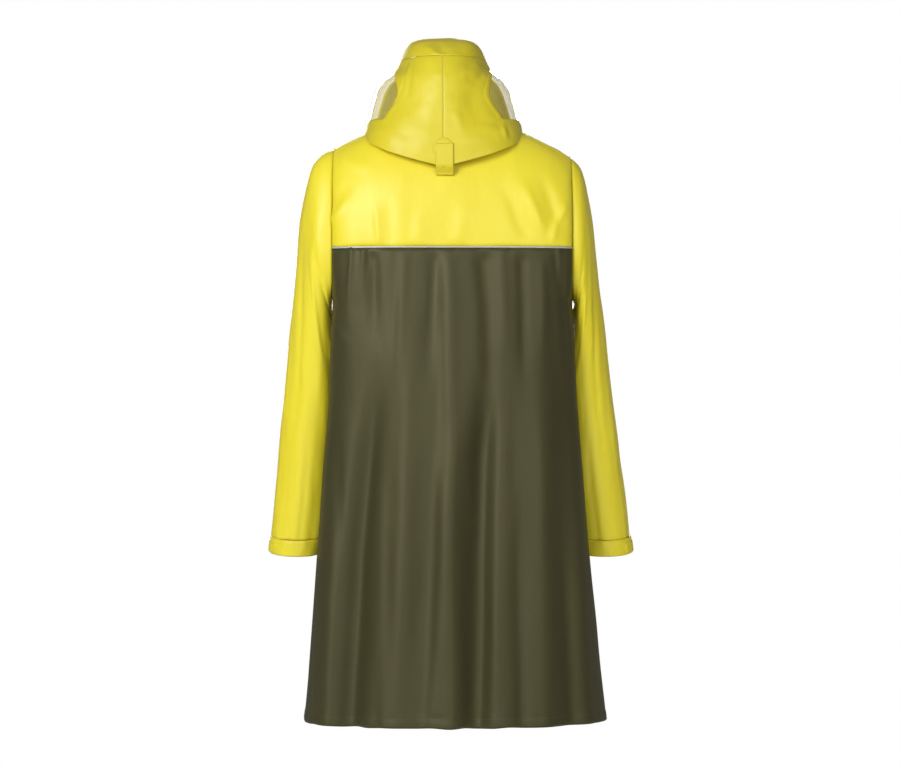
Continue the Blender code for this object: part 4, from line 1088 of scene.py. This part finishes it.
def make_window(side, seed, material):
    """The clear window, bulging a little, with soft dents as film has them."""
    u = np.linspace(0.0, 1.0, WINDOW_COLUMNS + 1)[None, :]
    v = np.linspace(0.0, 1.0, WINDOW_ROWS + 1)[:, None]
    z = (WINDOW_LOW_Z + (WINDOW_TOP_Z - WINDOW_LOW_Z) * v) * np.ones(u.shape)
    back = by_height(WINDOW_BACK, z)
    grid = hood_point(SIGN[side], back + (WINDOW_FRONT - back) * u, z)
    inside = np.sin(np.pi * u) * np.sin(np.pi * v)
    a, b = border_distance(grid, "first column"), grid[:, :, 2]
    dents = ripples(a, b, seed, (30, 24, 2.2))
    dents += np.abs(ripples(a + 0.4 * b, b, seed + 1, (16, 34, 1.2)))
    height = FILM_BULGE * inside ** FILM_FULL + inside * dents - FILM_BEHIND
    return cloth("hood_film_" + side, grid, height, material, thickness=FILM_THIN,
                 flip=side == "left")


def make_face_band(side, seed, material):
    """The band round the face, gathered softly beside the window; its grid that shows."""
    def angle_at(z):
        share = np.linspace(0.0, 1.0, BAND_COLUMNS + 1)
        back = WINDOW_FRONT + seam_angle(0.5 * GAP, z)
        return back + (by_height(FACE_EDGE, z) - back) * share

    grid = round_fold(hood_grid(SIGN[side], angle_at, BAND_COLUMNS + 1))
    a, z = border_distance(grid, "last column"), grid[:, :, 2]
    upper = smooth_step(z / BAND_UPPER)
    height = ripples(a, z, seed, (24, 14, 1.3), (12, 6, 0.8 * upper))
    height[:UNDER_ROWS] = 0.0
    height *= calm(grid, BAND_FADE, "first column")
    height[(z < THROAT_TOP_Z) & (np.abs(grid[:, :, 0] - HOOD_X) < THROAT_HALF)] = 0.0
    borders = ("first column", "last row")
    height += seam_dip(grid, borders, *HOOD_SEAM)
    piece, grid = cloth("hood_band_cloth_" + side, grid, height, material, flip=side == "left",
                        turned=borders)
    return piece, grid[UNDER_ROWS:]


def roof_grid(columns, rows):
    """The roof and brim: rows from the back seam to the brim, columns from left to right."""
    t = np.linspace(0.0, 1.0, rows + 1)[:, None]
    place = np.linspace(1.0, -1.0, columns + 1)[None, :]
    sign = np.where(place >= 0, 1.0, -1.0)
    low_z = ROOF_SEAM_Z + 0.5 * GAP
    far = by_height(FACE_EDGE, ROOF_SEAM_Z)
    edge = hood_point(sign, ROOF_CORNER + (far - ROOF_CORNER) * t, low_z)
    crown_y, crown_z = (along(CROWN["t"], CROWN[k], 100 * t) * MM for k in ("y", "z"))
    rise, wide = (along(ROOF_ARCH["place"], ROOF_ARCH[k], 100 * np.abs(place)) / 100
                  for k in ("rise", "wide"))
    turn = math.radians(ROOF_CORNER)
    bow = (np.sqrt(1.0 - (wide * math.sin(turn)) ** 2) - math.cos(turn)) / (1.0 - math.cos(turn))
    x = HOOD_X + (edge[..., 0] - HOOD_X) * wide
    y = edge[..., 1] + (crown_y - edge[..., 1]) * bow
    z = low_z + (crown_z - low_z) * rise
    return np.stack(np.broadcast_arrays(x, y, z), axis=-1)


def make_roof(seed, material):
    grid = roof_grid(*ROOF_GRID)
    x, y = grid[:, :, 0], grid[:, :, 1]
    height = creases_height(x, 100 * MM - border_distance(grid, "first row"), ROOF_CREASES)
    height += ripples(x, y, seed, (40, 34, 1.2), (15, 15, 0.3))
    borders = ("first row", "first column", "last column")
    height += seam_dip(grid, borders, *HOOD_SEAM)
    return cloth("hood_roof_cloth", grid, height, material, turned=borders)


def hood_back_at(x, z):
    """Points of the hood's back at places across it and heights."""
    part = (x - HOOD_X) / table(HOOD, "half", z)
    return hood_point(np.sign(part), np.degrees(np.arcsin(np.abs(part))), z)


def make_patch(material):
    """The round patch that holds the loop."""
    columns, rows = PATCH_GRID
    ring = np.linspace(0.0, 1.0, rows)[:, None]
    angle = np.linspace(0.0, 2 * np.pi, columns, endpoint=False)[None, :]
    radius = PATCH_RADIUS * np.maximum(ring, PATCH_MIDDLE)
    grid = hood_back_at(HOOD_X + radius * np.sin(angle), PATCH_Z + radius * np.cos(angle))
    height = PATCH_PROUD - PATCH_GROOVE * smooth_step((ring - PATCH_EDGE) / (1.0 - PATCH_EDGE))
    height = height - groove(ring, PATCH_GROOVE_AT[0], PATCH_GROOVE, PATCH_GROOVE_AT[1])
    height = height * np.ones(grid.shape[:2])
    return cloth("hood_patch_cloth", grid, height, material, closed=True, flip=True)


def make_tab(material):
    """The loop: down over the hood's fold, round below it and back up behind."""
    across = TAB_X + TAB_WIDTH * np.linspace(0.5, -0.5, TAB_COLUMNS)
    lip = float(lip_z(1.0, np.array(0.0)))
    first = lip + TAB_LEAVES
    rows = [hood_back_at(across, np.full(TAB_COLUMNS, z))
            for z in np.linspace(TAB_TOP_Z, first, TAB_ROWS[0])]
    last = rows[-1]
    bend = TAB_LOW_Z + TAB_TURN + TAB_FOLD
    for z in np.linspace(first, bend, TAB_ROWS[1])[1:]:
        rows.append(last + np.array([0.0, -TAB_LEAN * (first - z), z - first]))
    lean = -TAB_LEAN * (first - bend)
    for turn in np.radians(np.linspace(0.0, 180.0, TAB_ROWS[2])[1:]):
        rows.append(last + np.array([0.0, lean - TAB_FOLD * (1.0 - math.cos(turn)),
                                     bend - TAB_FOLD * math.sin(turn) - first]))
    rows.append(last + np.array([0.0, -TAB_BEHIND, lip - TAB_ENDS - first]))
    grid = np.array(rows)
    edges = ("first column", "last column", "first row")
    height = TAB_PROUD - worn(grid, edges, *WORN["hood tab"])
    return cloth("hood_tab_cloth", grid, height, material, thickness=TAB_THICK, flip=True)


# ---- materials ---------------------------------------------------------------------------------
YELLOW = (0.81, 0.70, 0.034, 1.0)
YELLOW_DEEP = (0.77, 0.65, 0.022, 1.0)
# the hood's yellow is a darker copy of the cloth's: painted shade, standing in for the hood lying
# in less light
HOOD_YELLOW_PAINTED_SHADE = (0.68, 0.584, 0.024, 1.0)
HOOD_YELLOW_DEEP_PAINTED_SHADE = (0.635, 0.53, 0.014, 1.0)
OLIVE = (0.046, 0.043, 0.0170, 1.0)
OLIVE_DEEP = (0.040, 0.0375, 0.0140, 1.0)
OLIVE_GLOSS = (1.0, 0.93, 0.62, 1.0)
SILVER = (0.52, 0.52, 0.46, 1.0)
SILVER_DARK = (0.40, 0.40, 0.35, 1.0)
YELLOW_THREAD = (0.80, 0.69, 0.05, 1.0)
OLIVE_THREAD = (0.095, 0.088, 0.05, 1.0)
# the film's haze: partly its own tint, partly painted light that brightens the shaded band behind
# the window
FILM_TINT_WITH_PAINTED_LIGHT = (0.97, 0.88, 0.26, 1.0)
WEAVE_PERIOD = 0.55 * MM
WAVE_TURN = 2 * math.pi / 20   # a wave texture repeats every WAVE_TURN / scale
RAMP = (0.34, 0.66)       # where a mix of two colours begins and ends
FILM_HAZE = (0.12, 0.24)  # least and most opacity of the film seen straight on
FILM_EDGE_POWER = 5.0     # the higher, the nearer to edge on it gets denser
FILM_EDGE_HAZE = 0.5      # and how much opacity that adds
THREAD_SHADE = 0.8        # the darkest part of a thread, as a share of its colour


class Look:
    """A new material, with short ways to add its nodes."""

    def __init__(self, name):
        self.material = bpy.data.materials.new(name)
        self.material.use_nodes = True
        self.nodes = self.material.node_tree.nodes
        self.place = self.node("TexCoord", "Object")

    def put(self, node, inputs):
        """Set a node's inputs: an output is linked, a number or colour is set on the socket."""
        for key, value in inputs.items():
            if isinstance(value, bpy.types.NodeSocket):
                self.material.node_tree.links.new(value, node.inputs[key])
            else:
                node.inputs[key].default_value = value

    def node(self, kind, output, inputs=None, **settings):
        node = self.nodes.new("ShaderNode" + kind)
        for key, value in settings.items():
            setattr(node, key, value)
        self.put(node, inputs or {})
        return node.outputs[output]

    def noise(self, scale, detail=3.0, roughness=0.5, at=None):
        return self.node("TexNoise", "Fac", {
            "Vector": self.place if at is None else at, "Scale": scale, "Detail": detail,
            "Roughness": roughness})

    def ranged(self, factor, low, high):
        return self.node("MapRange", "Result", {"Value": factor, "To Min": low, "To Max": high})

    def mixed(self, factor, first, second):
        ramp = self.nodes.new("ShaderNodeValToRGB")
        for element, position, colour in zip(ramp.color_ramp.elements, RAMP, (first, second)):
            element.position = position
            element.color = colour
        self.put(ramp, {"Fac": factor})
        return ramp.outputs["Color"]

    def weave(self, period):
        """A plain weave: two sets of threads across each other, as a height."""
        uv = self.node("TexCoord", "UV")
        across, down = (self.node("TexWave", "Fac", {"Scale": WAVE_TURN / period, "Vector": uv},
                                  bands_direction=way) for way in ("X", "Y"))
        return self.node("Math", "Value", {0: across, 1: down}, operation="MULTIPLY")

    def bump(self, height, strength, distance, more=None):
        return self.node("Bump", "Normal", {
            "Height": height, "Strength": strength, "Distance": distance, **(more or {})})

    def done(self, **inputs):
        """Set the surface itself; an input's spaces are written as underscores."""
        shader = self.nodes["Principled BSDF"]
        self.put(shader, {key.replace("_", " "): value for key, value in inputs.items()})
        return self.material


def cloth_material(name, light, deep, roughness, gloss_level, gloss_tint):
    """Coated cloth: fine weave, soft crinkles, a little unevenness in colour and gloss."""
    look = Look(name)
    hanging = look.node("Mapping", "Vector", {"Vector": look.place, "Scale": (1.0, 1.0, 0.35)})
    crinkles = look.noise(55.0, detail=5.0, roughness=0.55, at=hanging)
    crinkle = look.bump(crinkles, strength=0.35, distance=1.6 * MM)
    fine = look.bump(look.weave(WEAVE_PERIOD), strength=0.25, distance=0.08 * MM,
                     more={"Normal": crinkle})
    gloss = look.ranged(look.noise(18.0, detail=4.0, at=hanging),
                        roughness - 0.05, roughness + 0.07)
    tint = look.mixed(look.noise(7.0, detail=4.0, at=hanging), deep, light)
    return look.done(Base_Color=tint, Roughness=gloss, Normal=fine, Sheen_Weight=0.04,
                     Sheen_Roughness=0.4, Sheen_Tint=light, Specular_IOR_Level=gloss_level,
                     Specular_Tint=gloss_tint)


def piping_material():
    """Reflective tape: silver-grey, with the fine grain of its beads."""
    look = Look("reflective piping")
    grain = look.noise(900.0, detail=2.0)
    return look.done(Base_Color=look.mixed(grain, SILVER_DARK, SILVER), Roughness=0.42,
                     Metallic=0.25, Normal=look.bump(grain, strength=0.3, distance=0.1 * MM))


def thread_material(name, colour):
    look = Look(name)
    dark = tuple(THREAD_SHADE * c for c in colour[:3]) + (1.0,)
    tint = look.mixed(look.noise(1400.0, detail=2.0), dark, colour)
    return look.done(Base_Color=tint, Roughness=0.6)


def film_material():
    """Clear soft film: a faint yellow haze seen straight on, denser where it is seen edge on; the
    yellow is partly painted light on the shaded band seen through it.
    """
    look = Look("clear film")
    edge_on = look.node("LayerWeight", "Facing", {"Blend": 0.5})
    steep = look.node("Math", "Value", {0: edge_on, 1: FILM_EDGE_POWER}, operation="POWER")
    haze = look.ranged(look.noise(30.0, detail=4.0), *FILM_HAZE)
    whole = look.node("Math", "Value", {0: steep, 1: FILM_EDGE_HAZE, 2: haze},
                      operation="MULTIPLY_ADD")
    return look.done(Base_Color=FILM_TINT_WITH_PAINTED_LIGHT, Alpha=whole, Roughness=0.12, Specular_IOR_Level=0.6,
                     Normal=look.bump(look.noise(26.0), strength=0.3, distance=2 * MM))


# ---- stage -------------------------------------------------------------------------------------
PHOTO = {"wide": 900, "high": 767, "mm_per_px": 1.8, "middle_px": (446, 143)}
CAMERA_FAR = 5.5
SENSOR = 36.0
FLOOR_Z = -2.0
FLOOR_RADIUS = 3.2
FLOOR_TINTS = ((0.90, 0.90, 0.90, 1.0), (0.93, 0.93, 0.93, 1.0))
WHITE = (1.0, 1.0, 1.0, 1.0)
WORLD_LIGHT = 0.26
WORLD_TINT = (1.0, 0.97, 0.86, 1.0)
# name, place, what it is aimed at, size of its square, spread in degrees, watts
LAMPS = (
    ("key", (1.8, 3.2, 0.9), (0.0, 0.0, -0.15), 1.5, 90, 27),
    ("fill", (-1.2, 4.2, 0.5), (0.0, 0.0, -0.3), 2.2, 110, 20),
    ("front", (0.3, -3.6, 0.15), (0.0, 0.0, 0.0), 1.6, 110, 55),
    ("floor left", (2.2, 0.3, 0.8), (2.2, 0.3, -2.0), 1.2, 75, 13),
    ("floor right", (-2.2, 0.3, 0.8), (-2.2, 0.3, -2.0), 1.2, 75, 13),
)


def make_floor():
    """A pale floor below the garment."""
    bpy.ops.mesh.primitive_circle_add(vertices=96, radius=FLOOR_RADIUS, fill_type="NGON",
                                      location=(0.0, 0.0, FLOOR_Z))
    floor = bpy.context.object
    floor.name = "floor"
    look = Look("pale floor")
    tint = look.mixed(look.noise(1.5), *FLOOR_TINTS)
    floor.data.materials.append(look.done(Base_Color=tint, Roughness=0.9))


def make_light():
    """Soft light, most of it from the image's left, before a white background."""
    world = bpy.data.worlds.new("studio")
    world.use_nodes = True
    nodes = world.node_tree.nodes
    links = world.node_tree.links
    backdrop = nodes.new("ShaderNodeBackground")
    backdrop.inputs["Color"].default_value = WHITE
    mix = nodes.new("ShaderNodeMixShader")
    light = nodes["Background"]
    light.inputs["Color"].default_value = WORLD_TINT
    light.inputs["Strength"].default_value = WORLD_LIGHT
    links.new(nodes.new("ShaderNodeLightPath").outputs["Is Camera Ray"], mix.inputs[0])
    links.new(light.outputs["Background"], mix.inputs[1])
    links.new(backdrop.outputs["Background"], mix.inputs[2])
    links.new(mix.outputs["Shader"], nodes["World Output"].inputs["Surface"])
    bpy.context.scene.world = world
    for name, place, target, size, spread, watts in LAMPS:
        data = bpy.data.lights.new(name, "AREA")
        data.shape = "RECTANGLE"
        data.size = size
        data.size_y = size
        data.spread = math.radians(spread)
        data.energy = watts
        put_in_scene(name, data, place, np.array(target) - np.array(place))


def put_in_scene(name, data, place, aim):
    """Add a lamp or camera, which look down -Z, at a place and aimed that way."""
    thing = bpy.data.objects.new(name, data)
    thing.location = place
    flat = math.hypot(aim[0], aim[1])
    thing.rotation_euler = (math.atan2(flat, -aim[2]), 0.0, math.atan2(-aim[0], aim[1]))
    bpy.context.scene.collection.objects.link(thing)
    return thing


def make_camera():
    scale = PHOTO["mm_per_px"] * MM
    data = bpy.data.cameras.new("camera")
    data.sensor_width = SENSOR
    data.lens = SENSOR * CAMERA_FAR / (PHOTO["wide"] * scale)
    x = -(PHOTO["wide"] / 2 - PHOTO["middle_px"][0]) * scale
    z = (PHOTO["middle_px"][1] - PHOTO["high"] / 2) * scale
    bpy.context.scene.camera = put_in_scene("camera", data, (x, CAMERA_FAR, z), (0.0, -1.0, 0.0))


# ---- the poncho --------------------------------------------------------------------------------
# slot, flat cut of what shows (width, length, and the area where it isn't a rectangle), and the
# lines of stitches: the border, the distance from it, and which part of it
CUTS = {
    "back_panel": ("olive_cloth", 0.770, 0.890, 0.560,
                   ("last row", HEM_STITCH), ("first row", EDGE_STITCH)),
    "front_panel": ("olive_cloth", 0.750, 0.890, 0.526,
                    ("last row", HEM_STITCH), ("first row", EDGE_STITCH)),
    "back_yoke": ("yellow_cloth", 0.515, 0.246, 0.099, ("first row", YOKE_STITCH),
                  ("first column", SLEEVE_STITCH, (.02, .95)),
                  ("last column", SLEEVE_STITCH, (.02, .95))),
    "front_yoke": ("yellow_cloth", 0.520, 0.305, 0.111, ("first row", YOKE_STITCH),
                   ("first column", SLEEVE_STITCH, (.02, .95)),
                   ("last column", SLEEVE_STITCH, (.02, .95))),
    "sleeve_left": ("yellow_cloth", 0.460, 0.726, 0.206),
    "sleeve_right": ("yellow_cloth", 0.440, 0.701, 0.188),
    "cuff": ("yellow_cloth", 0.321, 0.030, None,
             ("first row", CUFF_STITCH), ("last row", CUFF_STITCH)),
    "cuff_tab": ("yellow_cloth", 0.071, 0.0193, None, ("first row", TAB_STITCH, (.03, .97)),
                 ("last row", TAB_STITCH, (.03, .97)), ("first column", TAB_STITCH, (.03, .97))),
    "hood_back": ("yellow_cloth", 0.280, 0.245, 0.038,
                  ("first column", EDGE_STITCH), ("last row", EDGE_STITCH)),
    "hood_window": ("clear_film", 0.157, 0.140, 0.0145),
    "hood_face_band": ("yellow_cloth", 0.175, 0.296, 0.0272,
                       ("last column", FACE_STITCH), ("first column", EDGE_STITCH)),
    "hood_top": ("yellow_cloth", 0.175, 0.215, 0.031,
                 ("first row", EDGE_STITCH), ("last row", FACE_STITCH)),
    "hood_tab": ("yellow_cloth", 0.032, 0.0765, None, ("first column", TAB_STITCH, (0, .75)),
                 ("last column", TAB_STITCH, (0, .75)), ("first row", TAB_STITCH)),
    "hood_tab_patch": ("yellow_cloth", 0.036, 0.036, 0.00102, ("last row", PATCH_STITCH)),
}


def dress(node, made, thread, closed=False, flip=False, sewn=()):
    """Hide the solid that a piece takes the place of, and add the piece's stitches."""
    piece, grid = made
    cut = node if node in CUTS else node.removesuffix("_left").removesuffix("_right")
    slot, width, length, area, *lines = CUTS[cut]
    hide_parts(node)
    sewn = list(sewn)
    if lines:
        lines = [line_beside(grid, closed, flip, *line) for line in lines]
        sewn.append(stitches(node + "_stitches", lines, thread))


def dress_body(yellow, olive, piping, yellow_thread, olive_thread):
    for node, back, size, creases, seed in PANELS:
        made = make_panel(node, back, size, creases, seed, olive)
        dress(node, made, olive_thread, flip=back)
    tape = shell("piping_tape", piping_grid(*PIPING_GRID), piping, thickness=PIPING_THICK,
                 flip=True)
    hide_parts("piping")
    for node, back, size, creases, seed in YOKES:
        made = make_yoke(node, back, size, creases, seed, yellow)
        dress(node, made, yellow_thread, flip=not back, sewn=[tape] if back else [])


def dress_sleeve(side, turn, down, seed, yellow, thread):
    left = side == "left"
    dress("sleeve_" + side, make_sleeve(side, turn, down, seed, yellow), thread)
    dress("cuff_" + side, make_cuff(side, seed + 5, yellow), thread, closed=True, flip=left)
    dress("cuff_tab_" + side, make_cuff_tab(side, yellow), thread, flip=left)


def dress_hood_side(side, seed, yellow, film, thread):
    left = side == "left"
    dress("hood_back_" + side, make_hood_back(side, seed, yellow), thread, flip=left)
    dress("hood_window_" + side, make_window(side, seed + 2, film), thread)
    dress("hood_face_band_" + side, make_face_band(side, seed + 4, yellow), thread, flip=left)


def dress_hood_top(seed, yellow, thread):
    dress("hood_top", make_roof(seed, yellow), thread)
    dress("hood_tab_patch", make_patch(yellow), thread, closed=True, flip=True)
    dress("hood_tab", make_tab(yellow), thread, flip=True)


def main():
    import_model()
    yellow = cloth_material("yellow coated cloth", YELLOW, YELLOW_DEEP, 0.42, 0.5, WHITE)
    # the hood gets the darker copy of the yellow cloth, which paints shade into its colour
    hood_yellow_painted_shade = cloth_material("yellow hood cloth painted darker for shade", HOOD_YELLOW_PAINTED_SHADE, HOOD_YELLOW_DEEP_PAINTED_SHADE, 0.44, 0.45,
                                 WHITE)
    olive = cloth_material("olive coated cloth", OLIVE, OLIVE_DEEP, 0.50, 0.42, OLIVE_GLOSS)
    yellow_thread = thread_material("yellow thread", YELLOW_THREAD)
    olive_thread = thread_material("olive thread", OLIVE_THREAD)
    film = film_material()
    dress_body(yellow, olive, piping_material(), yellow_thread, olive_thread)
    for side, turn, down, seed in SLEEVES:
        dress_sleeve(side, turn, down, seed, yellow, yellow_thread)
    for side, seed in HOOD_SIDES:
        dress_hood_side(side, seed, hood_yellow_painted_shade, film, yellow_thread)
    dress_hood_top(ROOF_SEED, hood_yellow_painted_shade, yellow_thread)
    make_floor()
    make_light()
    make_camera()
    bpy.context.scene.view_settings.view_transform = "Standard"


main()
